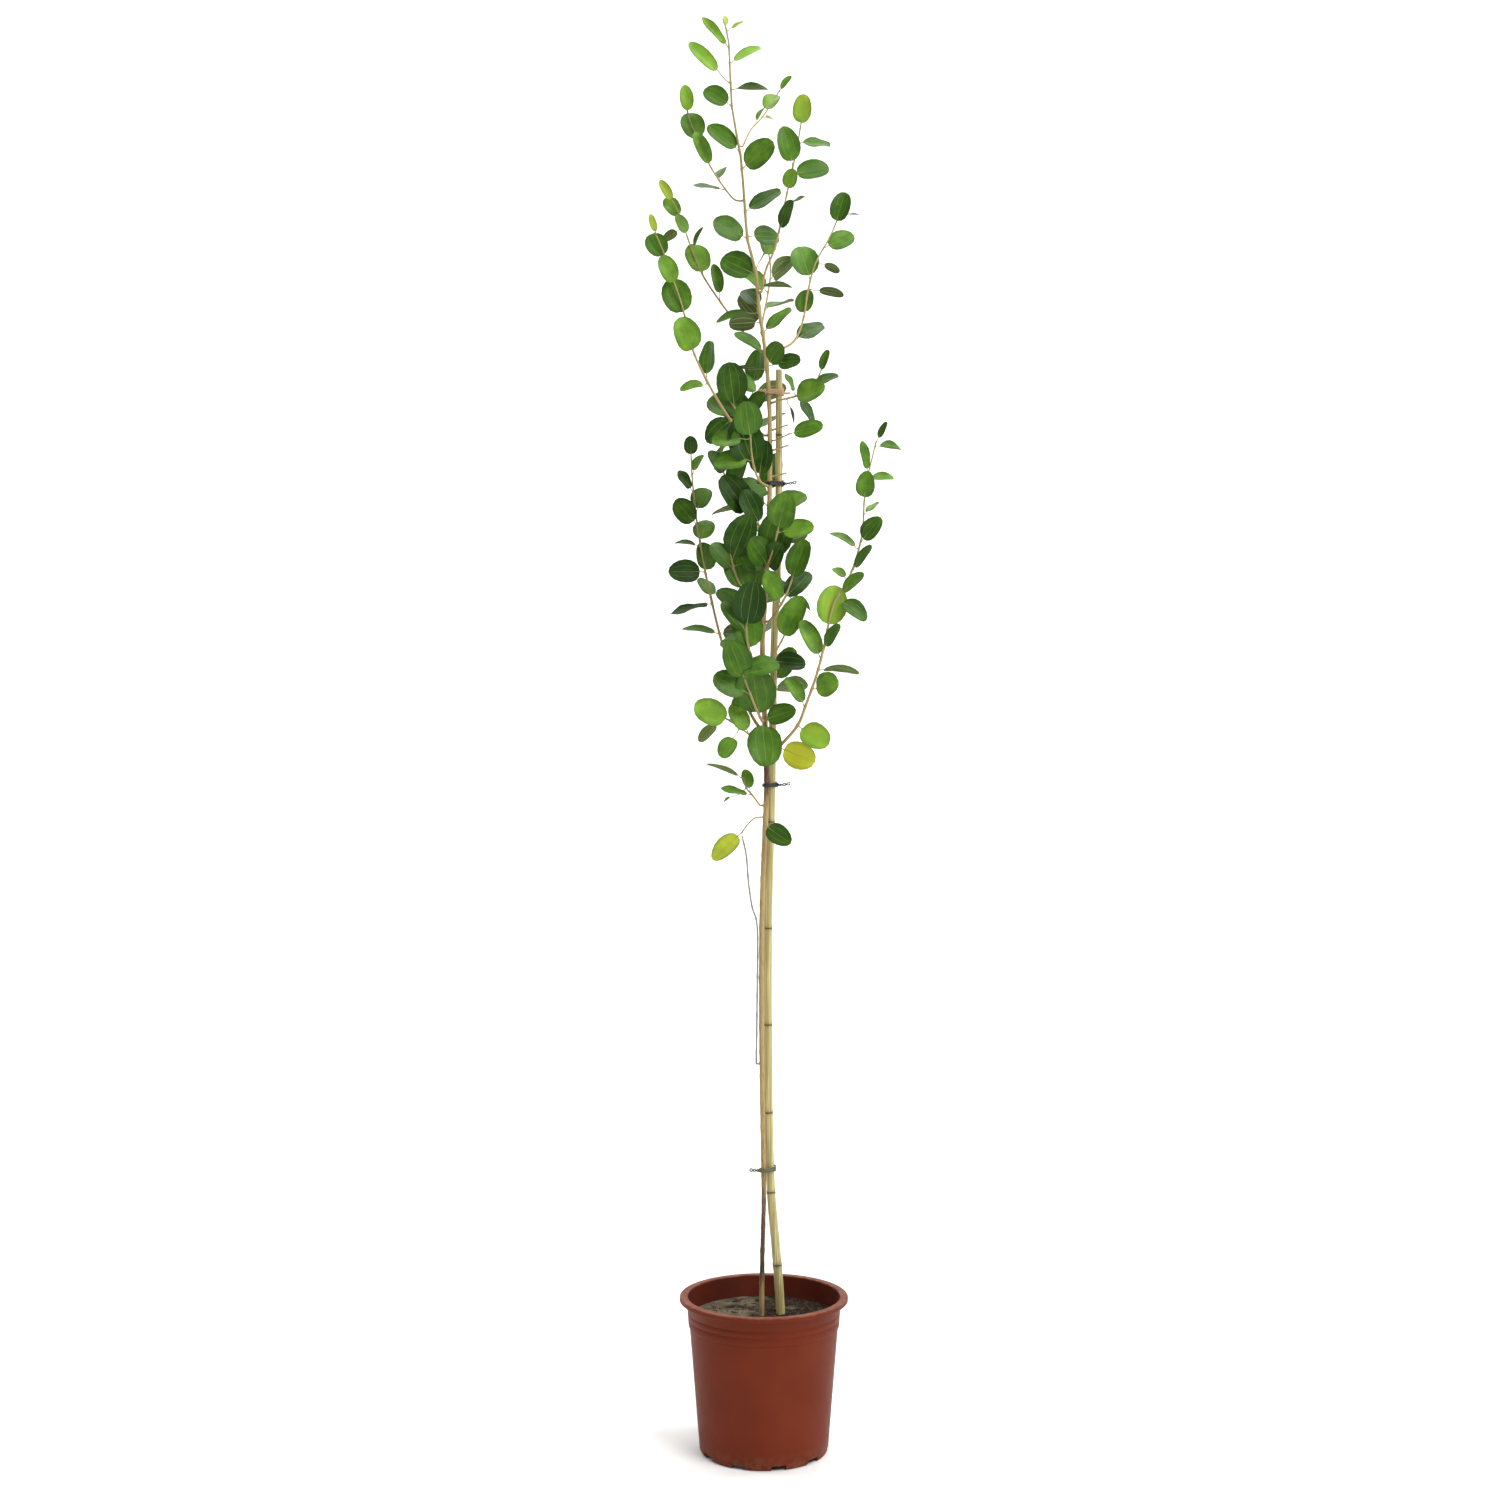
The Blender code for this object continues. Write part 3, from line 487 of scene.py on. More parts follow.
            Leaf(-22, 1124, 56, 44, -4, 12),
            Leaf(-38, 1142, 44, 32, 4, 30),
            Leaf(-44, 1110, 42, 32, 8, 25),
        ),
    ),
    Shoot(
        "lower_right_shoot",
        1078,
        ((14, -18, 1091), (28, -18, 1117), (36, -16, 1143)),
        (2.0, 1.0),
        (
            Leaf(37, 1140, 58, 34, -2, 12),
            Leaf(34, 1081, 42, 28, -4, 25),
        ),
    ),
    Shoot(
        "low_front_shoot",
        1000,
        ((-8, -24, 1010), (-16, -36, 1029), (-26, -42, 1055), (-32, -44, 1076)),
        (2.2, 1.0),
        (
            Leaf(-36, 1082, 52, 40, -2, 10),
            Leaf(-11, 1041, 66, 56, -8, 5),
            Leaf(-4, 1074, 42, 32, 6, 30),
            Leaf(0, 976, 62, 48, -24, 0),
            Leaf(-44, 1049, 48, 36, 8, 15),
            Leaf(18, 1008, 42, 30, -18, 25),
        ),
    ),
    Shoot(
        "low_left_shoot",
        972,
        ((-18, -12, 980), (-38, -16, 994), (-56, -16, 1006)),
        (1.8, 0.9),
        (
            Leaf(-72, 1012, 48, 36, -4, 5),
            Leaf(-78, 984, 34, 18, 6, 145),
            Leaf(-50, 964, 32, 26, -4, 20),
            Leaf(-32, 1003, 40, 28, -10, 25),
            Leaf(-30, 1026, 34, 26, 12, 20),
        ),
    ),
    Shoot(
        "lowest_left_shoot",
        884,
        ((-14, -8, 896), (-24, -10, 908), (-28, -10, 922)),
        (1.5, 0.9),
        (
            Leaf(-56, 935, 46, 20, 2, 112),
            Leaf(-22, 920, 28, 17, -4, 10),
            Leaf(-40, 905, 38, 17, 2, 62),
            Leaf(-52, 892, 14, 6, 6, 60),
        ),
    ),
    Shoot(
        "long_stalk_leaf",
        868,
        ((-14, -10, 866), (-24, -12, 856), (-30, -12, 847)),
        (1.1, 0.9),
        (
            Leaf(-52, 830, 46, 28, -4, 20),
        ),
    ),
    Shoot(
        "lowest_right_leaf",
        858,
        ((0, -14, 861), (3, -17, 860)),
        (1.1, 0.9),
        (
            Leaf(17, 847, 44, 28, -6, 5),
        ),
    ),
    Shoot(
        "back_crown_shoot",
        1532,
        ((-2, 24, 1552), (4, 44, 1586), (10, 58, 1630), (6, 66, 1668)),
        (1.8, 0.9),
        (
            Leaf(6, 1672, 40, 29, 0, 30),
            Leaf(24, 1642, 44, 31, 4, 125),
            Leaf(-14, 1620, 46, 33, 4, 40),
            Leaf(26, 1592, 48, 35, 6, 60),
            Leaf(-18, 1574, 44, 31, 4, 140),
        ),
    ),
    Shoot(
        "back_upper_shoot",
        1376,
        ((-4, 26, 1390), (-12, 46, 1416), (-16, 60, 1452), (-12, 68, 1490)),
        (2.0, 0.9),
        (
            Leaf(-12, 1498, 44, 33, 0, 30),
            Leaf(8, 1468, 48, 35, 4, 125),
            Leaf(-38, 1450, 48, 35, 4, 40),
            Leaf(12, 1428, 52, 37, 4, 60),
            Leaf(-36, 1410, 50, 35, 2, 140),
        ),
    ),
    Shoot(
        "back_middle_shoot",
        1230,
        ((0, 26, 1244), (8, 48, 1270), (6, 62, 1306), (10, 70, 1344)),
        (2.2, 1.0),
        (
            Leaf(10, 1350, 50, 37, 0, 30),
            Leaf(-16, 1326, 54, 39, 4, 125),
            Leaf(32, 1306, 54, 39, 2, 40),
            Leaf(-14, 1282, 52, 37, 4, 60),
            Leaf(34, 1262, 50, 35, 2, 140),
        ),
    ),
    Shoot(
        "back_lower_shoot",
        1096,
        ((-4, 26, 1110), (-14, 48, 1134), (-16, 62, 1168), (-10, 70, 1204)),
        (2.2, 1.0),
        (
            Leaf(-10, 1210, 50, 37, 0, 30),
            Leaf(12, 1184, 54, 39, 4, 125),
            Leaf(-40, 1168, 54, 39, 2, 40),
            Leaf(10, 1142, 52, 37, 2, 60),
            Leaf(-34, 1124, 42, 32, 10, 140),
        ),
    ),
    Shoot(
        "back_low_shoot",
        1024,
        ((4, 24, 1034), (14, 42, 1050), (24, 54, 1074)),
        (1.8, 1.0),
        (
            Leaf(28, 1080, 48, 35, 0, 30),
            Leaf(42, 1052, 48, 33, 4, 125),
            Leaf(2, 1060, 46, 33, 6, 40),
        ),
    ),
)

# The bare dry twig climbs beside the trunk: height of its seat, then its route
DRY_TWIG_SEAT = 530
DRY_TWIG_ROUTE = (
    (-10, -8, 560),
    (-9, -11, 640),
    (-9, -12, 718),
    (-16, -13, 745),
    (-21, -13, 778),
    (-24, -12, 815),
    (-30, -11, 843),
)
DRY_TWIG_RADII = (1.4, 1.1)

# Ties: node name, height as a share of the cane's length, direction of its tail in degrees from +X, material
TIES = (
    ("tie_low", 0.257, -170, "tie_grey"),
    ("tie_middle", 0.614, 0, "tie_dark"),
    ("tie_upper", 0.894, -12, "tie_dark"),
    ("tie_top", 0.979, -150, "tie_raffia"),
)

# How green the leaves are, 0 dark to 1 yellow: each shoot's usual tone, and leaves of a tone of their own,
# by their shoot and their place in its list. The dark tones of leaves in the crown's middle are partly
# painted shade.
PLAIN_TONE = 0.35
SHOOT_TONES = {
    "leader": 0.34,
    "crown_left_shoot": 0.38,
    "crown_right_shoot": 0.48,
    "upper_right_shoot": 0.34,
    "right_shoot": 0.28,
    "upper_left_shoot": 0.36,
    "far_left_shoot": 0.36,
    "low_front_shoot": 0.3,
    "low_left_shoot": 0.5,
    "lowest_left_shoot": 0.45,
    "back_upper_shoot": 0.3,
    "back_middle_shoot": 0.3,
    "back_lower_shoot": 0.3,
    "back_low_shoot": 0.3,
}
OWN_TONES = {
    ("centre_left_shoot", 0): 0.08,
    ("crown_left_shoot", 0): 0.65,
    ("crown_left_shoot", 4): 0.12,
    ("far_left_shoot", 0): 0.8,
    ("leader", 0): 0.62,
    ("leader", 1): 0.75,
    ("leader", 2): 0.75,
    ("leader", 3): 0.6,
    ("leader", 4): 0.6,
    ("leader", 6): 0.1,
    ("leader", 9): 0.15,
    ("leader", 10): 0.2,
    ("leader", 11): 0.15,
    ("leader", 13): 0.2,
    ("leader", 15): 0.3,
    ("leader", 16): 0.22,
    ("leader", 17): 0.3,
    ("leader", 18): 0.12,
    ("leader", 19): 0.25,
    ("leader", 20): 0.3,
    ("leader", 21): 0.1,
    ("leader", 22): 0.12,
    ("long_stalk_leaf", 0): 0.85,
    ("low_left_shoot", 0): 0.6,
    ("lowest_right_leaf", 0): 0.12,
    ("outer_right_shoot", 11): 0.6,
    ("outer_right_shoot", 16): 0.5,
    ("outer_right_shoot", 18): 0.6,
    ("outer_right_shoot", 19): 1.0,
    ("right_shoot", 7): 0.18,
    ("upper_left_shoot", 0): 0.85,
    ("upper_left_shoot", 5): 0.5,
    ("upper_right_shoot", 0): 0.68,
    ("upper_right_shoot", 6): 0.12,
}

# The outer shoots, and how far their leaves stray by turns from their shoot's tone
OUTER_SHOOTS = (
    "right_shoot",
    "upper_right_shoot",
    "crown_right_shoot",
    "crown_left_shoot",
    "upper_left_shoot",
    "far_left_shoot",
    "outer_right_shoot",
)
OUTER_STRAY = (-0.12, 0.08, 0.0, 0.14, -0.06, 0.04)
OUTER_LEAF_STEP = 5

# The shoots of the dense middle, and the dark and lighter tones that their leaves take by turns, darker than
# the usual tone as painted shade deep in the crown
MIDDLE_SHOOTS = (
    "centre_left_shoot",
    "centre_front_shoot",
    "centre_fork_shoot",
    "middle_front_shoot",
    "middle_left_shoot",
    "middle_right_shoot",
    "lower_centre_shoot",
    "lower_right_shoot",
    "left_shoot",
    "cane_top_shoot",
)
# Mostly low tones: painted shade for the leaves inside the dense middle
MIDDLE_SHADE_TONES = (0.05, 0.3, 0.15, 0.42, 0.1, 0.25, 0.0, 0.35)
MIDDLE_LEAF_STEP = 3
MIDDLE_SHOOT_STEP = 5


def leaf_tone(shoot: str, place: int) -> float:
    """How green one leaf is.

    Args:
        shoot: the name of its shoot.
        place: its place in the shoot's list.

    Returns:
        Its tone, 0 dark to 1 yellow.
    """
    if (shoot, place) in OWN_TONES:
        return OWN_TONES[shoot, place]
    if shoot in MIDDLE_SHOOTS:
        turn = place * MIDDLE_LEAF_STEP + MIDDLE_SHOOTS.index(shoot) * MIDDLE_SHOOT_STEP
        return MIDDLE_SHADE_TONES[turn % len(MIDDLE_SHADE_TONES)]
    usual = SHOOT_TONES.get(shoot, PLAIN_TONE)
    if shoot in OUTER_SHOOTS:
        turn = place * OUTER_LEAF_STEP + OUTER_SHOOTS.index(shoot)
        return usual + OUTER_STRAY[turn % len(OUTER_STRAY)]
    return usual


# ---- routes ----


def smooth_route(points: Sequence[Vector], steps: int) -> list[Vector]:
    """Points along a Catmull-Rom curve through the given ones.

    Args:
        points: the places to pass through, which may carry a radius as a fourth number.
        steps: how many points each stretch gets.

    Returns:
        The points of the curve, the last given one included.
    """
    knots = [2 * points[0] - points[1], *points, 2 * points[-1] - points[-2]]
    route = []
    for before, start, end, after in zip(knots, knots[1:], knots[2:], knots[3:]):
        for step in range(steps):
            t = step / steps
            linear = (end - before) * t
            square = (2 * before - 5 * start + 4 * end - after) * t * t
            cube = (3 * start - before - 3 * end + after) * t**3
            route.append(0.5 * (2 * start + linear + square + cube))
    route.append(points[-1])
    return route


def at_height(route: Sequence[Vector], z: float) -> Vector:
    """The point of a rising route at a height.

    Args:
        route: points of (x, y, z, radius), lowest first.
        z: the height.

    Returns:
        The point there, with its radius.
    """
    for low, high in zip(route, route[1:]):
        if low.z <= z <= high.z:
            return low.lerp(high, (z - low.z) / (high.z - low.z))
    raise ValueError(f"no point at height {z:.4f}")


def resampled(route: Sequence[Vector], spacing: float) -> list[Vector]:
    """The same route with points at most a spacing apart.

    Args:
        route: points of (x, y, z, radius).
        spacing: the widest gap between two points.

    Returns:
        The denser route.
    """
    dense = []
    for low, high in zip(route, route[1:]):
        count = max(1, math.ceil((high.xyz - low.xyz).length / spacing))
        dense += [low.lerp(high, step / count) for step in range(count)]
    dense.append(route[-1].copy())
    return dense


def swollen(route: Sequence[Vector], nodes: Sequence[Vector], rise: float, reach: float) -> list[Vector]:
    """The route made thicker near its nodes, where a leaf or a twig grew.

    Args:
        route: points of (x, y, z, radius).
        nodes: the places of the nodes.
        rise: how much thicker it is at a node, as a share of its radius.
        reach: how far from a node the swelling fades.

    Returns:
        The route with new radii.
    """
    thick = []
    for point in route:
        near = max((math.exp(-(((point.xyz - node.xyz).length / reach) ** 2)) for node in nodes), default=0.0)
        thick.append(Vector((*point.xyz, point.w * (1 + rise * near))))
    return thick


# ---- modelling by hand ----


def deselect_all() -> None:
    """Leaves edit mode and deselects every object."""
    if bpy.context.object and bpy.context.object.mode != "OBJECT":
        bpy.ops.object.mode_set(mode="OBJECT")
    bpy.ops.object.select_all(action="DESELECT")


def pick(*pieces: bpy.types.Object) -> None:
    """Selects only these objects, and makes the first one active."""
    deselect_all()
    for piece in pieces:
        piece.select_set(True)
    bpy.context.view_layer.objects.active = pieces[0]


def joined(name: str, pieces: Sequence[bpy.types.Object]) -> bpy.types.Object:
    """Joins objects into the first one.

    Args:
        name: the name of the joined object.
        pieces: the objects.

    Returns:
        The joined object.
    """
    pick(*pieces)
    if len(pieces) > 1:
        bpy.ops.object.join()
    whole = bpy.context.object
    whole.name = whole.data.name = name
    return whole


def apply_modifier(piece: bpy.types.Object, kind: str, **settings: Any) -> None:
    """Adds a modifier to a piece and applies it.

    Args:
        piece: the piece.
        kind: the modifier's type.
        settings: its properties.
    """
    pick(piece)
    bpy.ops.object.modifier_add(type=kind)
    modifier = piece.modifiers[-1]
    for key, value in settings.items():
        setattr(modifier, key, value)
    bpy.ops.object.modifier_apply(modifier=modifier.name)


def tidy_mesh(piece: bpy.types.Object, merge: float = 1e-6) -> None:
    """Merges doubled points and turns every face outwards."""
    pick(piece)
    bpy.ops.object.mode_set(mode="EDIT")
    bpy.ops.mesh.select_all(action="SELECT")
    bpy.ops.mesh.remove_doubles(threshold=merge)
    bpy.ops.mesh.normals_make_consistent(inside=False)
    bpy.ops.object.mode_set(mode="OBJECT")


def smooth_shade(piece: bpy.types.Object, degrees: float) -> None:
    """Shades a piece smooth, apart from edges sharper than an angle."""
    pick(piece)
    bpy.ops.object.shade_smooth_by_angle(angle=math.radians(degrees))


def dress(piece: bpy.types.Object, *materials: bpy.types.Material) -> None:
    """Gives a piece these materials, in the order of its faces' slots."""
    piece.data.materials.clear()
    for material in materials:
        piece.data.materials.append(material)


def paint(piece: bpy.types.Object, name: str, values: Sequence[float]) -> None:
    """Stores one number for each point of a piece, for its materials to read."""
    mesh = piece.data
    layer = mesh.attributes.get(name) or mesh.attributes.new(name, "FLOAT", "POINT")
    layer.data.foreach_set("value", values)


def tube(
    name: str, routes: Sequence[Sequence[Vector]], roundness: int, closed: bool = False
) -> bpy.types.Object:
    """Round stems along routes, as one mesh with filled ends.

    Args:
        name: the object's name.
        routes: for each stem its points of (x, y, z, radius).
        roundness: the bevel resolution, which gives 4 + 2 x roundness sides.
        closed: whether each route runs back into its start.

    Returns:
        The mesh object.
    """
    deselect_all()
    bpy.ops.object.add(type="CURVE", location=(0, 0, 0))
    guide = bpy.context.object
    guide.name = name
    curve = guide.data
    curve.dimensions = "3D"
    curve.bevel_depth = 1.0
    curve.bevel_resolution = roundness
    curve.use_fill_caps = not closed
    for route in routes:
        spline = curve.splines.new("POLY")
        spline.points.add(len(route) - 1)
        spline.use_cyclic_u = closed
        for point, place in zip(spline.points, route):
            point.co = (place.x, place.y, place.z, 1.0)
            point.radius = place.w
    bpy.ops.object.convert(target="MESH")
    stem = bpy.context.object
    tidy_mesh(stem, 1e-7)
    return stem


def finish_piece(piece: bpy.types.Object, slot: str, *nodes: str) -> bpy.types.Object:
    """Hands a finished piece to the frame in place of its CAD nodes.

    Args:
        piece: the finished piece.
        slot: the record's material slot; not used.
        nodes: the CAD nodes that it stands for.

    Returns:
        The piece.
    """
    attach(piece, "root")
    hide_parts(*nodes)
    log.info("%s: %d faces, for %s", piece.name, len(piece.data.polygons), ", ".join(nodes))
    return piece


# ---- finishes ----


def linear_colour(code: str) -> tuple[float, float, float, float]:
    """The linear colour of an sRGB hex code such as #8a5a3c."""
    parts = [int(code[at : at + 2], 16) / 255 for at in (1, 3, 5)]
    return (*(part / 12.92 if part <= 0.04045 else ((part + 0.055) / 1.055) ** 2.4 for part in parts), 1.0)


def grain(size_mm: float) -> float:
    """The noise scale whose features are this many millimetres wide."""
    return 1000 / size_mm


def add_node(
    tree: bpy.types.NodeTree,
    kind: str,
    inputs: dict[str | int, Any] | None = None,
    stops: Sequence[tuple[float, str]] = (),
    **settings: Any,
) -> bpy.types.Node:
    """Adds a shader node with its settings, values and links.

    Args:
        tree: the material's node tree.
        kind: the node's type.
        inputs: by socket, a value to set or an output to link.
        stops: positions and hex colours, for a colour ramp.
        settings: the node's properties.

    Returns:
        The node.
    """
    made = tree.nodes.new(kind)
    for key, value in settings.items():
        setattr(made, key, value)
    for key, value in (inputs or {}).items():
        if isinstance(value, bpy.types.NodeSocket):
            tree.links.new(value, made.inputs[key])
        else:
            made.inputs[key].default_value = value
    if stops:
        elements = made.color_ramp.elements
        while len(elements) < len(stops):
            elements.new(0.5)
        for element, (position, code) in zip(elements, stops):
            element.position = position
            element.color = linear_colour(code)
    return made


class Finish:
    """A surface finish, which makes its material once."""

    title: str

    def nodes(self, tree: bpy.types.NodeTree, shader: bpy.types.Node) -> None:
        """Builds the finish's own nodes."""
        raise NotImplementedError

    def material(self) -> bpy.types.Material:
        """The finish's material, made on first use."""
        if self.title in bpy.data.materials:
            return bpy.data.materials[self.title]
        made = bpy.data.materials.new(self.title)
        made.use_nodes = True
        self.nodes(made.node_tree, made.node_tree.nodes["Principled BSDF"])
        return made


def noise(
    tree: bpy.types.NodeTree, place: bpy.types.NodeSocket, size_mm: float, detail: float, **more: float
) -> bpy.types.NodeSocket:
    """Noise with features of one size.

    Args:
        tree: the material's node tree.
        place: the coordinates.
        size_mm: the features' size in millimetres.
        detail: how many finer layers are added.
        more: further inputs of the noise.

    Returns:
        The noise's socket.
    """
    inputs = {"Vector": place, "Scale": grain(size_mm), "Detail": detail, **more}
    return add_node(tree, "ShaderNodeTexNoise", inputs).outputs["Fac"]


def upright_noise(
    tree: bpy.types.NodeTree, width_mm: float, length_mm: float, detail: float, **more: float
) -> bpy.types.NodeSocket:
    """Noise drawn out along the height, for grain and cracks.

    Args:
        tree: the material's node tree.
        width_mm: the features' width in millimetres.
        length_mm: their height in millimetres.
        detail: how many finer layers are added.
        more: further inputs of the noise.

    Returns:
        The noise's socket.
    """
    scale = (grain(width_mm), grain(width_mm), grain(length_mm))
    drawn = add_node(tree, "ShaderNodeMapping", {"Vector": object_place(tree), "Scale": scale})
    inputs = {"Vector": drawn.outputs["Vector"], "Scale": 1.0, "Detail": detail, **more}
    return add_node(tree, "ShaderNodeTexNoise", inputs).outputs["Fac"]


def object_place(tree: bpy.types.NodeTree) -> bpy.types.NodeSocket:
    """The point's place in the object, as a socket."""
    return add_node(tree, "ShaderNodeTexCoord").outputs["Object"]


def painted(tree: bpy.types.NodeTree, name: str) -> bpy.types.NodeSocket:
    """A value painted on the mesh, by its attribute's name, as a socket."""
    return add_node(tree, "ShaderNodeAttribute", attribute_name=name).outputs["Fac"]


def remap(
    tree: bpy.types.NodeTree,
    value: bpy.types.NodeSocket,
    limits: tuple[float, float],
    ends: tuple[float, float] = (0.0, 1.0),
) -> bpy.types.NodeSocket:
    """A value carried over from one range to another, and held at its ends.

    Args:
        tree: the material's node tree.
        value: the value.
        limits: where its range starts and ends.
        ends: what the start and the end become.

    Returns:
        The new value's socket.
    """
    inputs = {
        "Value": value, "From Min": limits[0], "From Max": limits[1], "To Min": ends[0], "To Max": ends[1]
    }
    return add_node(tree, "ShaderNodeMapRange", inputs).outputs["Result"]


def maths(
    tree: bpy.types.NodeTree, operation: str, *values: bpy.types.NodeSocket | float
) -> bpy.types.NodeSocket:
    """A sum, product or the like of one or two values, as a socket."""
    return add_node(tree, "ShaderNodeMath", dict(enumerate(values)), operation=operation).outputs[0]


def ramp(
    tree: bpy.types.NodeTree, value: bpy.types.NodeSocket, stops: Sequence[tuple[float, str]]
) -> bpy.types.NodeSocket:
    """The colour of a value between hex colours at given positions, as a socket."""
    return add_node(tree, "ShaderNodeValToRGB", {"Fac": value}, stops=stops).outputs["Color"]


def tinted(
    tree: bpy.types.NodeTree, under: bpy.types.NodeSocket, code: str, share: bpy.types.NodeSocket
) -> bpy.types.NodeSocket:
    """A colour covered by a hex colour in a share from 0 to 1, as a socket."""
    inputs = {0: share, 6: under, 7: linear_colour(code)}
    return add_node(tree, "ShaderNodeMix", inputs, data_type="RGBA").outputs[2]


def colour(tree: bpy.types.NodeTree, shader: bpy.types.Node, base: bpy.types.NodeSocket) -> None:
    """Gives the shader its base colour."""
    tree.links.new(base, shader.inputs["Base Color"])


def emboss(
    tree: bpy.types.NodeTree,
    shader: bpy.types.Node,
    height: bpy.types.NodeSocket,
    strength: float,
    distance: float,
) -> None:
    """Gives the shader a relief.

    Args:
        tree: the material's node tree.
        shader: the shader.
        height: the relief's height, 0 to 1.
        strength: how strongly it shows.
        distance: its depth in metres.
    """
    inputs = {"Strength": strength, "Distance": distance, "Height": height}
    tree.links.new(add_node(tree, "ShaderNodeBump", inputs).outputs["Normal"], shader.inputs["Normal"])


@dataclass(frozen=True)
class MouldedPolypropylene(Finish):
    """Injection-moulded polypropylene: satin, faintly mottled and finely textured, dusty at the foot, with a
    pale band along the rim that is partly dust and partly painted highlight.
    """

    title: str = "Moulded polypropylene"
    pigment: tuple[str, ...] = ("#632612", "#682813", "#6d2b16")
    # Pale tan: dust at the foot, and at the rim dust together with a painted highlight
    dust_and_highlight: str = "#a07a5c"
    sheen: float = 0.10
    mottle_mm: float = 70.0
    speck_mm: float = 9.0
    texture_mm: float = 1.6
    rim_height: float = POT_HEIGHT
    rim_reach: float = 0.0022
    rim_highlight_and_dust: float = 0.25
    foot_reach: float = 0.024
    foot_dust: float = 0.22

    def nodes(self, tree: bpy.types.NodeTree, shader: bpy.types.Node) -> None:
        """Mottled pigment, with dust where water dries at the foot, and along the rim a pale band of dust and
        painted highlight where the lip catches the light.
        """
        place = object_place(tree)
        low, middle, high = self.pigment
        mottle = noise(tree, place, self.mottle_mm, 3.0)
        base = ramp(tree, mottle, ((0.3, low), (0.5, middle), (0.72, high)))
        height = add_node(tree, "ShaderNodeSeparateXYZ", {"Vector": place}).outputs["Z"]
        # The rim's pale band is partly dust and partly a painted highlight where the lip catches the light
        rim = remap(tree, height, (self.rim_height - self.rim_reach, self.rim_height), (0.0, self.rim_highlight_and_dust))
        foot = remap(tree, height, (self.foot_reach, 0.0), (0.0, self.foot_dust))
        specks = noise(tree, place, self.speck_mm, 6.0)
        broken = remap(tree, specks, (0.40, 0.62))
        share = maths(tree, "MULTIPLY", maths(tree, "MAXIMUM", rim, foot), broken)
        colour(tree, shader, tinted(tree, base, self.dust_and_highlight, share))
        tree.links.new(remap(tree, specks, (0.0, 1.0), (0.42, 0.60)), shader.inputs["Roughness"])
        shader.inputs["IOR"].default_value = 1.49
        shader.inputs["Specular IOR Level"].default_value = self.sheen
        emboss(tree, shader, noise(tree, place, self.texture_mm, 4.0), 0.18, 0.0003)


@dataclass(frozen=True)
class PottingCompost(Finish):
    """Peat and bark compost: dark and crumbly, with a dry grey crust in patches."""

    title: str = "Potting compost"
    shades: tuple[str, ...] = ("#120e0a", "#2a2119", "#51463a")
    crust: str = "#7d745f"
    crumb_mm: float = 5.0
    patch_mm: float = 26.0
    pale_left_span: tuple[float, float] = (0.016, -0.030)
    pale_left_gain: float = 0.30
    crust_limits: tuple[float, float] = (0.62, 0.98)
    crust_share: float = 0.85

    def nodes(self, tree: bpy.types.NodeTree, shader: bpy.types.Node) -> None:
        """Crumbs of mixed shade, with a pale crust in patches whose share also rises towards the left (-X).
        """
        place = object_place(tree)
        low, middle, high = self.shades
        crumbs = noise(tree, place, self.crumb_mm, 8.0, Roughness=0.7)
        base = ramp(tree, crumbs, ((0.34, low), (0.5, middle), (0.68, high)))
        patches = noise(tree, place, self.patch_mm, 5.0)
        # The crust's share rises towards the left (-X) across the whole top, on top of the patches
        sideways = add_node(tree, "ShaderNodeSeparateXYZ", {"Vector": place}).outputs["X"]
        crust_and_pale_left = maths(tree, "ADD", patches, remap(tree, sideways, self.pale_left_span, (0.0, self.pale_left_gain)))
        share = remap(tree, crust_and_pale_left, self.crust_limits, (0.0, self.crust_share))
        colour(tree, shader, tinted(tree, base, self.crust, share))
        shader.inputs["Roughness"].default_value = 0.95
        shader.inputs["Specular IOR Level"].default_value = 0.06
        emboss(tree, shader, crumbs, 0.9, 0.0015)


@dataclass(frozen=True)
class DriedBamboo(Finish):
    """Dried bamboo cane: a smooth straw-coloured skin with long streaks and dark scars at its joints."""

    title: str = "Dried bamboo"
    skin: tuple[str, ...] = ("#8a8150", "#b1a46b", "#d3c68d")
    scar: str = "#5a4526"
    streak_mm: float = 1.4
    streak_length_mm: float = 90.0

    def nodes(self, tree: bpy.types.NodeTree, shader: bpy.types.Node) -> None:
        """Streaks along the cane, and the scars where the attribute knot is high."""
        streaks = upright_noise(tree, self.streak_mm, self.streak_length_mm, 4.0)
        low, middle, high = self.skin
        base = ramp(tree, streaks, ((0.30, low), (0.5, middle), (0.68, high)))
        colour(tree, shader, tinted(tree, base, self.scar, painted(tree, "knot")))
        shader.inputs["Roughness"].default_value = 0.42
        emboss(tree, shader, streaks, 0.25, 0.0003)


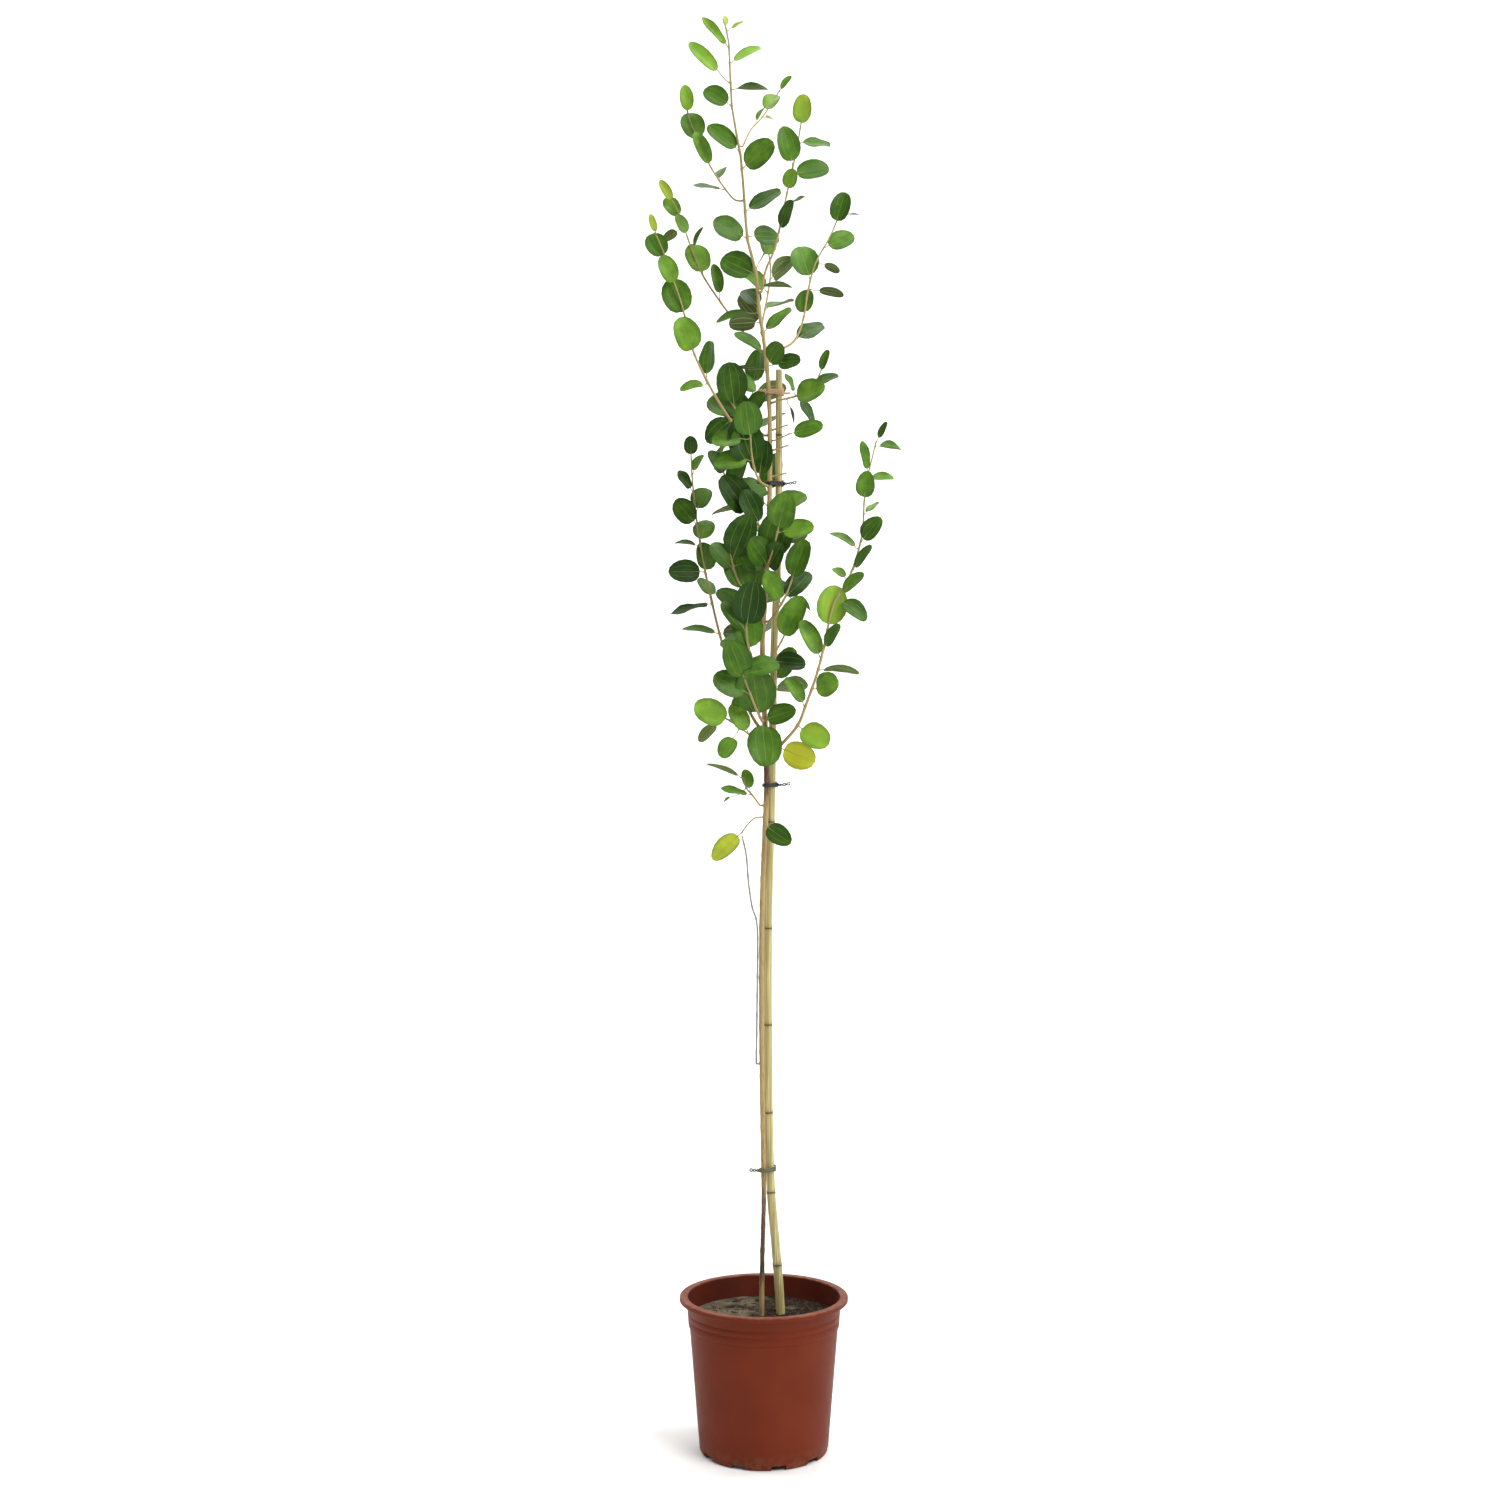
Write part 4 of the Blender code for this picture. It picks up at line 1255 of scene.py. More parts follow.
@dataclass(frozen=True)
class JujubeBark(Finish):
    """Young jujube bark: green-tan on new wood, brown and finely fissured on old, with small pale pores."""

    title: str = "Jujube bark"
    ages: tuple[tuple[float, str], ...] = (
        (0.0, "#7f8c3c"),
        (0.25, "#938a5c"),
        (0.5, "#ad945f"),
        (0.75, "#6c5238"),
        (1.0, "#3c2014"),
    )
    pore: str = "#b9a98a"
    fissure_mm: float = 1.3
    fissure_length_mm: float = 14.0
    pore_mm: float = 2.2

    def nodes(self, tree: bpy.types.NodeTree, shader: bpy.types.Node) -> None:
        """Colour by the attribute age, broken by fissures and pores."""
        fissures = upright_noise(tree, self.fissure_mm, self.fissure_length_mm, 5.0, Roughness=0.6)
        wander = remap(tree, fissures, (0.3, 0.7), (-0.16, 0.16))
        base = ramp(tree, maths(tree, "ADD", painted(tree, "age"), wander), self.ages)
        cells = {"Vector": object_place(tree), "Scale": grain(self.pore_mm)}
        from_pore = add_node(tree, "ShaderNodeTexVoronoi", cells).outputs["Distance"]
        pores = remap(tree, from_pore, (0.12, 0.24), (0.45, 0.0))
        colour(tree, shader, tinted(tree, base, self.pore, pores))
        shader.inputs["Roughness"].default_value = 0.72
        emboss(tree, shader, fissures, 0.5, 0.0004)


@dataclass(frozen=True)
class WaxyLamina(Finish):
    """The waxed upper side of a jujube leaf: glossy green, with three paler main veins and fine quilting."""

    title: str = "Waxy leaf upper side"
    tones: tuple[tuple[float, str], ...] = (
        (0.0, "#21400b"),
        (0.35, "#4b741b"),
        (0.65, "#7fab32"),
        (0.85, "#a4b138"),
        (1.0, "#c3c631"),
    )
    vein: str = "#86a03c"
    vein_strength: float = 0.32
    vein_share: float = 0.022
    margin: str = "#20400c"
    margin_strength: float = 0.45
    margin_limits: tuple[float, float] = (0.30, 0.50)
    quilt_mm: float = 2.6
    blotch_mm: float = 16.0

    def nodes(self, tree: bpy.types.NodeTree, shader: bpy.types.Node) -> None:
        """Green by the attribute tone, with veins and a darker margin drawn on the blade's own map."""
        place = object_place(tree)
        wander = remap(tree, noise(tree, place, self.blotch_mm, 3.0), (0.3, 0.7), (-0.09, 0.09))
        base = ramp(tree, maths(tree, "ADD", painted(tree, "tone"), wander), self.tones)
        veins = vein_mask(tree, self.vein_share)
        veined = tinted(tree, base, self.vein, maths(tree, "MULTIPLY", veins, self.vein_strength))
        edge = remap(tree, from_midrib(tree), self.margin_limits)
        colour(
            tree,
            shader,
            tinted(tree, veined, self.margin, maths(tree, "MULTIPLY", edge, self.margin_strength)),
        )
        shader.inputs["Roughness"].default_value = 0.42
        shader.inputs["Specular IOR Level"].default_value = 0.20
        quilt = noise(tree, place, self.quilt_mm, 2.0)
        emboss(tree, shader, maths(tree, "SUBTRACT", quilt, veins), 0.45, 0.0004)


@dataclass(frozen=True)
class FeltedUnderside(Finish):
    """The felted underside of a jujube leaf: pale grey-green down over raised veins."""

    title: str = "Felted leaf underside"
    tones: tuple[tuple[float, str], ...] = ((0.0, "#3c4b2a"), (0.65, "#687a41"), (1.0, "#a6a44a"))
    vein: str = "#7f8c58"
    vein_share: float = 0.03
    felt_mm: float = 0.9

    def nodes(self, tree: bpy.types.NodeTree, shader: bpy.types.Node) -> None:
        """Pale felt with the same three veins standing out."""
        veins = vein_mask(tree, self.vein_share)
        colour(tree, shader, tinted(tree, ramp(tree, painted(tree, "tone"), self.tones), self.vein, veins))
        shader.inputs["Roughness"].default_value = 0.85
        shader.inputs["Specular IOR Level"].default_value = 0.12
        shader.inputs["Sheen Weight"].default_value = 0.06
        shader.inputs["Sheen Roughness"].default_value = 0.5
        felt = noise(tree, object_place(tree), self.felt_mm, 3.0)
        emboss(tree, shader, maths(tree, "ADD", felt, veins), 0.5, 0.0003)


# A leaf's side veins: how far they lie from the midrib as a share of the blade's width, how much thinner they
# are, and the share of a vein's width that is drawn in full
SIDE_VEIN = 0.24
SIDE_VEIN_THINNING = 1.5
VEIN_CORE = 0.3


def from_midrib(tree: bpy.types.NodeTree) -> bpy.types.NodeSocket:
    """How far a point lies from the leaf's midrib, as a share of its width, from the blade's map."""
    blade = add_node(tree, "ShaderNodeUVMap", uv_map="blade").outputs["UV"]
    across = add_node(tree, "ShaderNodeSeparateXYZ", {"Vector": blade}).outputs["X"]
    return maths(tree, "ABSOLUTE", maths(tree, "SUBTRACT", across, 0.5))


def vein_mask(tree: bpy.types.NodeTree, share: float) -> bpy.types.NodeSocket:
    """A mask of a leaf's three main veins, the side ones thinner.

    Args:
        tree: the material's node tree.
        share: a vein's width as a share of the blade's.

    Returns:
        The mask's socket, 1 on a vein and 0 off it.
    """
    middle = from_midrib(tree)
    side = maths(tree, "ABSOLUTE", maths(tree, "SUBTRACT", middle, SIDE_VEIN))
    nearest = maths(tree, "MINIMUM", middle, maths(tree, "MULTIPLY", side, SIDE_VEIN_THINNING))
    return remap(tree, nearest, (share * VEIN_CORE, share), (1.0, 0.0))


@dataclass(frozen=True)
class WeatheredWood(Finish):
    """Bare weathered twig wood: silver-grey, dry, with fine lengthwise cracks."""

    title: str = "Weathered twig wood"
    shades: tuple[str, str] = ("#66625e", "#9a9692")
    crack_mm: float = 0.8
    crack_length_mm: float = 12.0

    def nodes(self, tree: bpy.types.NodeTree, shader: bpy.types.Node) -> None:
        """Two greys along fine cracks."""
        cracks = upright_noise(tree, self.crack_mm, self.crack_length_mm, 4.0)
        low, high = self.shades
        colour(tree, shader, ramp(tree, cracks, ((0.35, low), (0.6, high))))
        shader.inputs["Roughness"].default_value = 0.88
        emboss(tree, shader, cracks, 0.5, 0.0002)


@dataclass(frozen=True)
class TieCord(Finish):
    """Tie material: a thin twisted cord or coated wire, in one shade with lighter rubbed threads."""

    title: str
    dark: str
    light: str
    roughness: float
    thread_mm: float = 0.9

    def nodes(self, tree: bpy.types.NodeTree, shader: bpy.types.Node) -> None:
        """Threads wound round the cord."""
        threads = noise(tree, object_place(tree), self.thread_mm, 3.0, Distortion=0.6)
        colour(tree, shader, ramp(tree, threads, ((0.35, self.dark), (0.68, self.light))))
        shader.inputs["Roughness"].default_value = self.roughness
        emboss(tree, shader, threads, 0.4, 0.0003)


@dataclass(frozen=True)
class StudioPaint(Finish):
    """Matt white studio paint, with a barely visible roller texture."""

    title: str = "Matt studio paint"
    shades: tuple[str, str] = ("#f4f4f2", "#fbfbfa")
    roller_mm: float = 250.0

    def nodes(self, tree: bpy.types.NodeTree, shader: bpy.types.Node) -> None:
        """Near-white with a faint roller mottle."""
        roller = noise(tree, object_place(tree), self.roller_mm, 2.0)
        low, high = self.shades
        colour(tree, shader, ramp(tree, roller, ((0.3, low), (0.7, high))))
        shader.inputs["Roughness"].default_value = 0.9


class TieStuff(Enum):
    """The cords that the ties are made of."""

    DARK = TieCord("Black coated tie wire", "#0b0a09", "#2a2220", 0.5)
    GREY = TieCord("Grey jute tie cord", "#3d3e2f", "#77775f", 0.85)
    RAFFIA = TieCord("Raffia tie", "#94714c", "#cfb088", 0.75)


TIE_STUFF = {"tie_dark": TieStuff.DARK, "tie_grey": TieStuff.GREY, "tie_raffia": TieStuff.RAFFIA}


# ---- leaves ----


@dataclass(frozen=True)
class BladeShape:
    """How a master leaf bends: all shares of its length, apart from the lobe's."""

    curl: float
    fold: float
    cup: float
    wave: float
    twist: float
    fullness: float = 0.46


class LeafForm(Enum):
    """The master leaves that every leaf is a copy of."""

    BROAD = BladeShape(curl=0.09, fold=0.030, cup=0.050, wave=0.006, twist=0.02)
    CUPPED = BladeShape(curl=0.14, fold=0.045, cup=0.090, wave=0.004, twist=-0.03, fullness=0.43)
    WAVY = BladeShape(curl=0.07, fold=0.025, cup=0.030, wave=0.022, twist=0.04)
    HOOKED = BladeShape(curl=0.20, fold=0.040, cup=0.060, wave=0.008, twist=-0.02, fullness=0.50)


@dataclass
class LeafMaker:
    """Models the master leaves and copies them to their places."""

    across_faces: int = 4
    along_faces: int = 8
    thickness: float = 0.010
    widest: float = 0.93
    bend_range: tuple[float, float] = (0.75, 1.75)
    stalk_radius: float = 0.00075
    stalk_sag: float = 0.12
    rib_shares: tuple[float, float] = (0.3, 0.62)
    tone_stray: float = 0.07
    seed: int = 7

    def __post_init__(self) -> None:
        """Makes the masters and the seeded random source."""
        self.random = random.Random(self.seed)
        self.masters = {form: self.model_master(form) for form in LeafForm}

    def height(self, shape: BladeShape, across: float, along: float) -> float:
        """How far a point of the blade stands out of its plane.

        Args:
            shape: how the blade bends.
            across: -1 to 1 from edge to edge.
            along: 0 to 1 from stalk to tip.

        Returns:
            The height as a share of the blade's length.
        """
        body = math.sin(math.pi * along)
        droop = -shape.curl * along**2
        valley = -shape.fold * body * math.exp(-((across / 0.3) ** 2))
        edge = shape.cup * abs(across) ** 1.6 * body
        ripple = shape.wave * across**2 * math.sin(9 * along + 2 * across)
        return droop + valley + edge + ripple + shape.twist * across * along * body

    def model_master(self, form: LeafForm) -> bpy.types.Object:
        """One leaf blade of unit length and width, with its base at the origin and its tip along +Y.

        Args:
            form: which master.

        Returns:
            The blade, closed, with the upper side and the underside in two material slots.
        """
        deselect_all()
        bpy.ops.mesh.primitive_grid_add(
            x_subdivisions=self.across_faces, y_subdivisions=self.along_faces, size=1.0, location=(0, 0, 0)
        )
        blade = bpy.context.object
        blade.name = "master_" + form.name.lower()
        blade.data.uv_layers[0].name = "blade"
        shape = form.value
        for vertex in blade.data.vertices:
            across = 2 * vertex.co.x
            along = (1 - math.cos(math.pi * (vertex.co.y + 0.5))) / 2
            swell = max(0.0, min(1.0, along)) ** self.widest
            half = 0.5 * (4 * swell * (1 - swell)) ** shape.fullness
            vertex.co = (across * half, along, self.height(shape, across, along))
        tidy_mesh(blade, 1e-5)
        dress(blade, WaxyLamina().material(), FeltedUnderside().material())
        apply_modifier(
            blade, "SOLIDIFY", thickness=self.thickness, offset=-1.0, material_offset=1, material_offset_rim=1
        )
        smooth_shade(blade, 50)
        return blade

    def blade_frame(self, base: Vector, centre: Vector, roll: float) -> tuple[Vector, Vector, Vector]:
        """Directions of a leaf.

        Args:
            base: where its stalk leaves the twig.
            centre: the middle of its blade.
            roll: 0 where the upper side faces the front, 90 up, 180 where the underside faces the front.

        Returns:
            Unit vectors along its axis, across it, and out of its upper side.
        """
        axis = (centre - base).normalized()
        front = Vector((0, -1, 0))
        if abs(axis.dot(front)) > 0.97:
            front = Vector((0, 0, 1))
        front = (front - axis * axis.dot(front)).normalized()
        upward = axis.cross(front)
        if upward.z < 0:
            upward.negate()
        turn = math.radians(roll)
        normal = front * math.cos(turn) + upward * math.sin(turn)
        return axis, axis.cross(normal), normal

    def grow(
        self, base: Vector, centre: Vector, leaf: Leaf, tone: float
    ) -> tuple[bpy.types.Object, list[Vector]]:
        """One leaf in its place.

        Args:
            base: where its stalk leaves the twig.
            centre: the middle of its blade.
            leaf: its row of the plan.
            tone: 0 dark to 1 yellow.

        Returns:
            The blade, and the route of its stalk and midrib with radii.
        """
        length = leaf.length * MM
        axis, across, normal = self.blade_frame(base, centre, leaf.roll)
        form = self.random.choice(list(LeafForm))
        bend = self.random.uniform(*self.bend_range)
        stalk = (centre - base).length - length / 2
        foot = base + axis * stalk
        blade = self.masters[form].copy()
        blade.data = self.masters[form].data.copy()
        bpy.context.scene.collection.objects.link(blade)
        turn = Matrix((across * leaf.width * MM, axis * length, normal * length * bend)).transposed()
        blade.data.transform(Matrix.Translation(foot) @ turn.to_4x4())
        paint(
            blade,
            "tone",
            [tone + self.random.uniform(-self.tone_stray, self.tone_stray)] * len(blade.data.vertices),
        )
        sag = -normal * stalk * self.stalk_sag
        radius = self.stalk_radius * min(1.0, 0.55 + leaf.length / 100)
        places = [base, base + axis * stalk * 0.5 + sag, foot]
        rib = [
            foot + (axis * share + normal * bend * self.height(form.value, 0, share)) * length
            for share in self.rib_shares
        ]
        under = -normal * self.thickness * length * bend
        places += [place + under for place in rib]
        radii = (radius * 1.3, radius, radius * 0.85, radius * 0.55, radius * 0.25)
        return blade, [Vector((*place, width)) for place, width in zip(places, radii)]

    def grow_all(
        self, shoot: str, route: Sequence[Vector], leaves: Sequence[Leaf]
    ) -> list[tuple[Vector, bpy.types.Object, list[Vector]]]:
        """Every leaf of one twig.

        Args:
            shoot: the twig's name.
            route: the twig's points of (x, y, z, radius).
            leaves: its rows of the plan.

        Returns:
            For each leaf the twig's point that it grows from, its blade, and the route of its stalk.
        """
        return [
            (base, *self.grow(base.xyz, centre, leaf, leaf_tone(shoot, place)))
            for place, (base, centre, leaf) in enumerate(leaf_places(route, leaves))
        ]

    def discard_masters(self) -> None:
        """Removes the masters once every leaf is copied."""
        for master in self.masters.values():
            bpy.data.objects.remove(master)


def leaf_places(route: Sequence[Vector], leaves: Sequence[Leaf]) -> list[tuple[Vector, Vector, Leaf]]:
    """Where each leaf of a twig grows: seen from the front, from the lowest point in its reach.

    Args:
        route: the twig's points of (x, y, z, radius).
        leaves: its leaves.

    Returns:
        For each leaf its base, its blade's centre and its row.
    """
    spans = zip(route, route[1:])
    dense = [low.lerp(high, step / REACH_STEPS) for low, high in spans for step in range(REACH_STEPS)]
    places = []
    for index, leaf in enumerate(leaves):
        spot = Vector((leaf.x * MM, leaf.z * MM))
        nearest = min(dense, key=lambda point: (point.xz - spot).length)
        spread = LEAF_SPREAD if index % 2 else -LEAF_SPREAD
        centre = Vector((spot.x, nearest.y + leaf.depth * MM + spread, spot.y))
        reach = (leaf.length / 2 + leaf.stalk) * MM
        within = [point for point in dense if (point.xz - spot).length <= IN_PLANE * reach]
        base = within[0] if within else min(dense, key=lambda point: (point.xyz - centre).length)
        if within:
            centre = base.xyz + (centre - base.xyz).normalized() * reach
        places.append((base, centre, leaf))
    return places


# ---- wood ----


@dataclass
class Wood:
    """Models twigs with their leaf stalks, buds and swellings."""

    ring_spacing: float = 0.0045
    node_rise: float = 0.32
    node_reach: float = 0.0028
    bud_radius: float = 0.0011
    bud_lean: float = 0.6
    bud_length: float = 1.7
    bud_seat: float = 0.9
    roundness: int = 2
    stalk_age: float = 0.10

    def bud(self, place: Vector, direction: Vector) -> bpy.types.Object:
        """A small pointed bud in the angle of a leaf stalk.

        Args:
            place: the twig's point there, with its radius.
            direction: the way the leaf leaves the twig.

        Returns:
            The bud.
        """
        deselect_all()
        bpy.ops.mesh.primitive_ico_sphere_add(subdivisions=1, radius=self.bud_radius, location=(0, 0, 0))
        bud = bpy.context.object
        lean = (direction + Vector((0, 0, self.bud_lean))).normalized()
        spin = lean.to_track_quat("Z", "Y").to_matrix()
        stretch = Matrix.Diagonal((1.0, 1.0, self.bud_length))
        seat = place.xyz + direction * place.w * self.bud_seat
        bud.data.transform(Matrix.Translation(seat) @ (spin @ stretch).to_4x4())
        return bud

    def stem_age(self, stem: bpy.types.Object, route: Sequence[Vector], old: float, young: float) -> None:
        """Paints a stem's age, from its foot to its tip.

        Args:
            stem: the stem's mesh.
            route: its points of (x, y, z, radius).
            old: the age at the foot.
            young: the age at the tip.
        """
        last = len(route) - 1
        ages = []
        for vertex in stem.data.vertices:
            nearest = min(range(len(route)), key=lambda index: (route[index].xyz - vertex.co).length_squared)
            ages.append(old + (young - old) * nearest / last)
        paint(stem, "age", ages)

    def stalks(self, routes: Sequence[Sequence[Vector]]) -> bpy.types.Object:
        """Leaf stalks that run on as midribs under their blades."""
        curved = [smooth_route(route, 3) for route in routes]
        stalks = tube("stalks", curved, 1)
        paint(stalks, "age", [self.stalk_age] * len(stalks.data.vertices))
        dress(stalks, JujubeBark().material())
        smooth_shade(stalks, 60)
        return stalks


@dataclass
class SideShoot:
    """One side shoot: its twig, leaf stalks, buds and leaves as one piece."""

    plan: Shoot
    old_age: float = 0.62
    young_age: float = 0.12
    bud_age: float = 0.35
    collar_flare: float = 1.5
    buried_share: float = 0.6

    def route(self, trunk: Sequence[Vector]) -> list[Vector]:
        """The twig's route from the trunk, as the part has it.

        Args:
            trunk: the trunk's points of (x, y, z, radius).

        Returns:
            The twig's points.
        """
        start = at_height(trunk, self.plan.seat * MM)
        rows = [Vector(row) * MM for row in self.plan.route]
        out = Vector((rows[0].x - start.x, rows[0].y - start.y, 0)).normalized()
        places = [start.xyz + out * (start.w + SEAT_GAP), start.xyz + out * (start.w + TWIG_STAND_OFF), *rows]
        thick, thin = self.plan.radii
        last = len(places) - 1
        tapered = [
            Vector(
                (*place, (thick + (thin - thick) * index / last) * MM)
            ) for index, place in enumerate(places)
        ]
        return [tapered[0], *smooth_route(tapered[1:], SHOOT_STEPS)]

    def build(self, trunk: Sequence[Vector], leaves: LeafMaker, wood: Wood) -> bpy.types.Object:
        """Models the shoot and hands it to the frame.

        Args:
            trunk: the trunk's points of (x, y, z, radius).
            leaves: the maker of its leaves.
            wood: the maker of its twig.

        Returns:
            The shoot's piece.
        """
        route = self.route(trunk)
        grown = leaves.grow_all(self.plan.name, route[1:], self.plan.leaves)
        bases = [base for base, _, _ in grown]
        inside = route[0] + (route[0] - route[1]) * self.buried_share
        inside.w = route[0].w * self.collar_flare
        rings = swollen(
            resampled([inside, *route], wood.ring_spacing), bases, wood.node_rise, wood.node_reach
        )
        twig = tube(self.plan.name + "_twig", [rings], wood.roundness)
        wood.stem_age(twig, rings, self.old_age, self.young_age)
        dress(twig, JujubeBark().material())
        smooth_shade(twig, 60)
        pieces = [twig, wood.stalks([stalk for _, _, stalk in grown])]
        for base, _, stalk in grown:
            bud = wood.bud(base, (stalk[1].xyz - stalk[0].xyz).normalized())
            dress(bud, JujubeBark().material())
            paint(bud, "age", [self.bud_age] * len(bud.data.vertices))
            pieces.append(bud)
        shoot = joined("leafy_" + self.plan.name, [*pieces, *(blade for _, blade, _ in grown)])
        return finish_piece(shoot, "leaf", self.plan.name)


@dataclass
class Trunk:
    """The trunk and leader, with old leaf scars, pruned stubs and the leader's leaves."""

    ring_spacing: float = 0.005
    roundness: int = 4
    first_scar: float = 0.02
    scar_spacing: float = 0.034
    scar_rise: float = 0.13
    scar_reach: float = 0.0035
    bark_lumps: float = 0.0006
    lump_size: float = 0.006
    stub_radius: float = 0.0011
    # Bark age by height in metres; the dark band from 0.88 to 0.97 m is painted shadow of the leaves above
    ages: tuple[tuple[float, float], ...] = (
        (0.11, 0.60),
        (0.22, 0.58),
        (0.25, 0.95),
        (0.32, 0.85),
        (0.38, 0.62),
        (0.45, 0.52),
        (0.88, 0.52),
        (0.915, 0.88),
        (0.945, 0.88),
        (0.97, 0.62),
        (1.15, 0.55),
        (1.40, 0.50),
        (1.60, 0.36),
        (1.97, 0.18),
    )

    def __post_init__(self) -> None:
        """Lays out the trunk's centre line."""
        rows = [Vector(row) * MM for row in TRUNK_ROUTE]
        self.route = smooth_route(rows, TRUNK_STEPS)

    def age_and_shade_at(self, z: float) -> float:
        """The bark's age at a height, with a painted shadow band from 0.88 to 0.97 m."""
        for (low, old), (high, young) in zip(self.ages, self.ages[1:]):
            if z <= high:
                return old + (young - old) * max(0.0, z - low) / (high - low)
        return self.ages[-1][1]

    def stub(self, height: float, tip: tuple[float, float, float]) -> bpy.types.Object:
        """A pruned side stub with a swollen collar.

        Args:
            height: its height on the trunk in millimetres.
            tip: its cut end in millimetres.

        Returns:
            The stub's mesh.
        """
        start = at_height(self.route, height * MM).xyz
        end = Vector(tip) * MM
        shares = ((0.0, 2.0), (0.25, 1.3), (0.6, 1.0), (0.97, 1.0), (1.0, 0.8))
        rings = [Vector((*start.lerp(end, share), self.stub_radius * width)) for share, width in shares]
        return tube("stub", [rings], 2)

    def build(self, leaves: LeafMaker, wood: Wood) -> bpy.types.Object:
        """Models the trunk with its leader and hands it to the frame."""
        leader = [point for point in self.route if point.z > LEADER_FOOT * MM]
        grown = leaves.grow_all("leader", leader, LEADER_LEAVES)
        top = self.route[-1].z
        count = int((LEADER_FOOT * MM - SOIL_TOP) / self.scar_spacing)
        first = SOIL_TOP + self.first_scar
        scars = [at_height(self.route, first + self.scar_spacing * index) for index in range(count)]
        nodes = [*scars, *(at_height(self.route, min(shoot.seat * MM, top)) for shoot in SHOOTS)]
        rings = swollen(resampled(self.route, self.ring_spacing), nodes, self.scar_rise, self.scar_reach)
        rings = swollen(rings, [base for base, _, _ in grown], wood.node_rise, wood.node_reach)
        stem = tube("stem", [rings], self.roundness)
        lumps = bpy.data.textures.new("bark lumps", "CLOUDS")
        lumps.noise_scale = self.lump_size
        apply_modifier(stem, "DISPLACE", texture=lumps, strength=self.bark_lumps, mid_level=0.5)
        whole = joined("stem", [stem, *(self.stub(height, tip) for height, tip in PRUNED_STUBS)])
        paint(whole, "age", [self.age_and_shade_at(vertex.co.z) for vertex in whole.data.vertices])
        dress(whole, JujubeBark().material())
        smooth_shade(whole, 55)
        pieces = [whole, wood.stalks([stalk for _, _, stalk in grown])]
        trunk = joined("trunk_with_leader", [*pieces, *(blade for _, blade, _ in grown)])
        return finish_piece(trunk, "bark", "trunk")


@dataclass
class DryTwig:
    """The bare dry twig that climbs beside the trunk."""

    ring_spacing: float = 0.006
    node_spacing: float = 0.031
    node_rise: float = 0.25
    node_reach: float = 0.003

    def build(self, trunk: Sequence[Vector]) -> bpy.types.Object:
        """Models the twig with its old nodes and hands it to the frame."""
        bare = SideShoot(Shoot("dry_twig", DRY_TWIG_SEAT, DRY_TWIG_ROUTE, DRY_TWIG_RADII, ()))
        route = resampled(bare.route(trunk), self.ring_spacing)
        step = max(1, round(self.node_spacing / self.ring_spacing))
        twig = tube("bare_twig", [swollen(route, route[::step], self.node_rise, self.node_reach)], 2)
        dress(twig, WeatheredWood().material())
        smooth_shade(twig, 60)
        return finish_piece(twig, "dry_wood", "dry_twig")


@dataclass
class Cane:
    """The bamboo cane: joints with a ridge and a groove, a taper, and a hollow cut at the top."""

    foot_radius: float = 0.0065
    top_radius: float = 0.0045
    foot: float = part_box("cane")[0][2]
    length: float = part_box("cane")[1][2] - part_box("cane")[0][2]
    first_knot: float = 0.075
    knot_growth: float = 1.10
    knot_profile: tuple[tuple[float, float, float], ...] = (
        (-0.0060, 0.0, 0.0),
        (-0.0022, 0.0003, 0.1),
        (-0.0008, 0.0006, 0.8),
        (0.0000, -0.0002, 1.0),
        (0.0009, 0.0007, 0.6),
        (0.0026, 0.0003, 0.2),
        (0.0060, 0.0, 0.0),
    )
    ring_spacing: float = 0.014
    roundness: int = 6
    bore_wall: float = 0.0016
    bore_depth: float = 0.012

    def __post_init__(self) -> None:
        """Lays out the cane's centre line with its joints."""
        bow = smooth_route([Vector((*row, 0)) * MM for row in CANE_BOW], BOW_STEPS)
        top = self.foot + self.length
        heights: dict[float, tuple[float, float]] = {self.foot: (0.0, 0.0), top: (0.0, 0.0)}
        plain = int(self.length / self.ring_spacing)
        knots = []
        spacing = self.first_knot
        knot = self.foot + spacing
        while knot < top - self.first_knot / 2:
            knots.append(knot)
            spacing *= self.knot_growth
            knot += spacing
        for index in range(1, plain):
            z = self.foot + self.length * index / plain
            if all(abs(z - knot) > 0.0075 for knot in knots):
                heights[z] = (0.0, 0.0)
        for knot in knots:
            heights.update({knot + offset: (rise, scar) for offset, rise, scar in self.knot_profile})
        self.route = []
        self.scars = []
        for z in sorted(heights):
            rise, scar = heights[z]
            place = at_height(bow, min(z, bow[-1].z))
            radius = self.foot_radius + (self.top_radius - self.foot_radius) * (z - self.foot) / self.length
            self.route.append(Vector((place.x, place.y, z, radius + rise)))
            self.scars.append(scar)

    def build(self) -> bpy.types.Object:
        """Models the cane and hands it to the frame."""
        pole = tube("pole", [self.route], self.roundness)
        top = self.foot + self.length
        pick(pole)
        bpy.ops.object.mode_set(mode="EDIT")
        bpy.ops.mesh.select_all(action="DESELECT")
        bpy.ops.object.mode_set(mode="OBJECT")
        for face in pole.data.polygons:
            face.select = face.normal.z > 0.9 and face.center.z > top - 0.001
        bpy.ops.object.mode_set(mode="EDIT")
        bpy.ops.mesh.select_mode(type="FACE")
        bpy.ops.mesh.inset(thickness=self.bore_wall)
        bpy.ops.mesh.extrude_region_move(TRANSFORM_OT_translate={"value": (0, 0, -self.bore_depth)})
        bpy.ops.object.mode_set(mode="OBJECT")
        heights = [point.z for point in self.route]
        scars = []
        for vertex in pole.data.vertices:
            nearest = min(range(len(heights)), key=lambda index: abs(heights[index] - vertex.co.z))
            scars.append(self.scars[nearest])
        paint(pole, "knot", scars)
        dress(pole, DriedBamboo().material())
        smooth_shade(pole, 50)
        pole.name = "bamboo_pole"
        return finish_piece(pole, "bamboo", "cane")


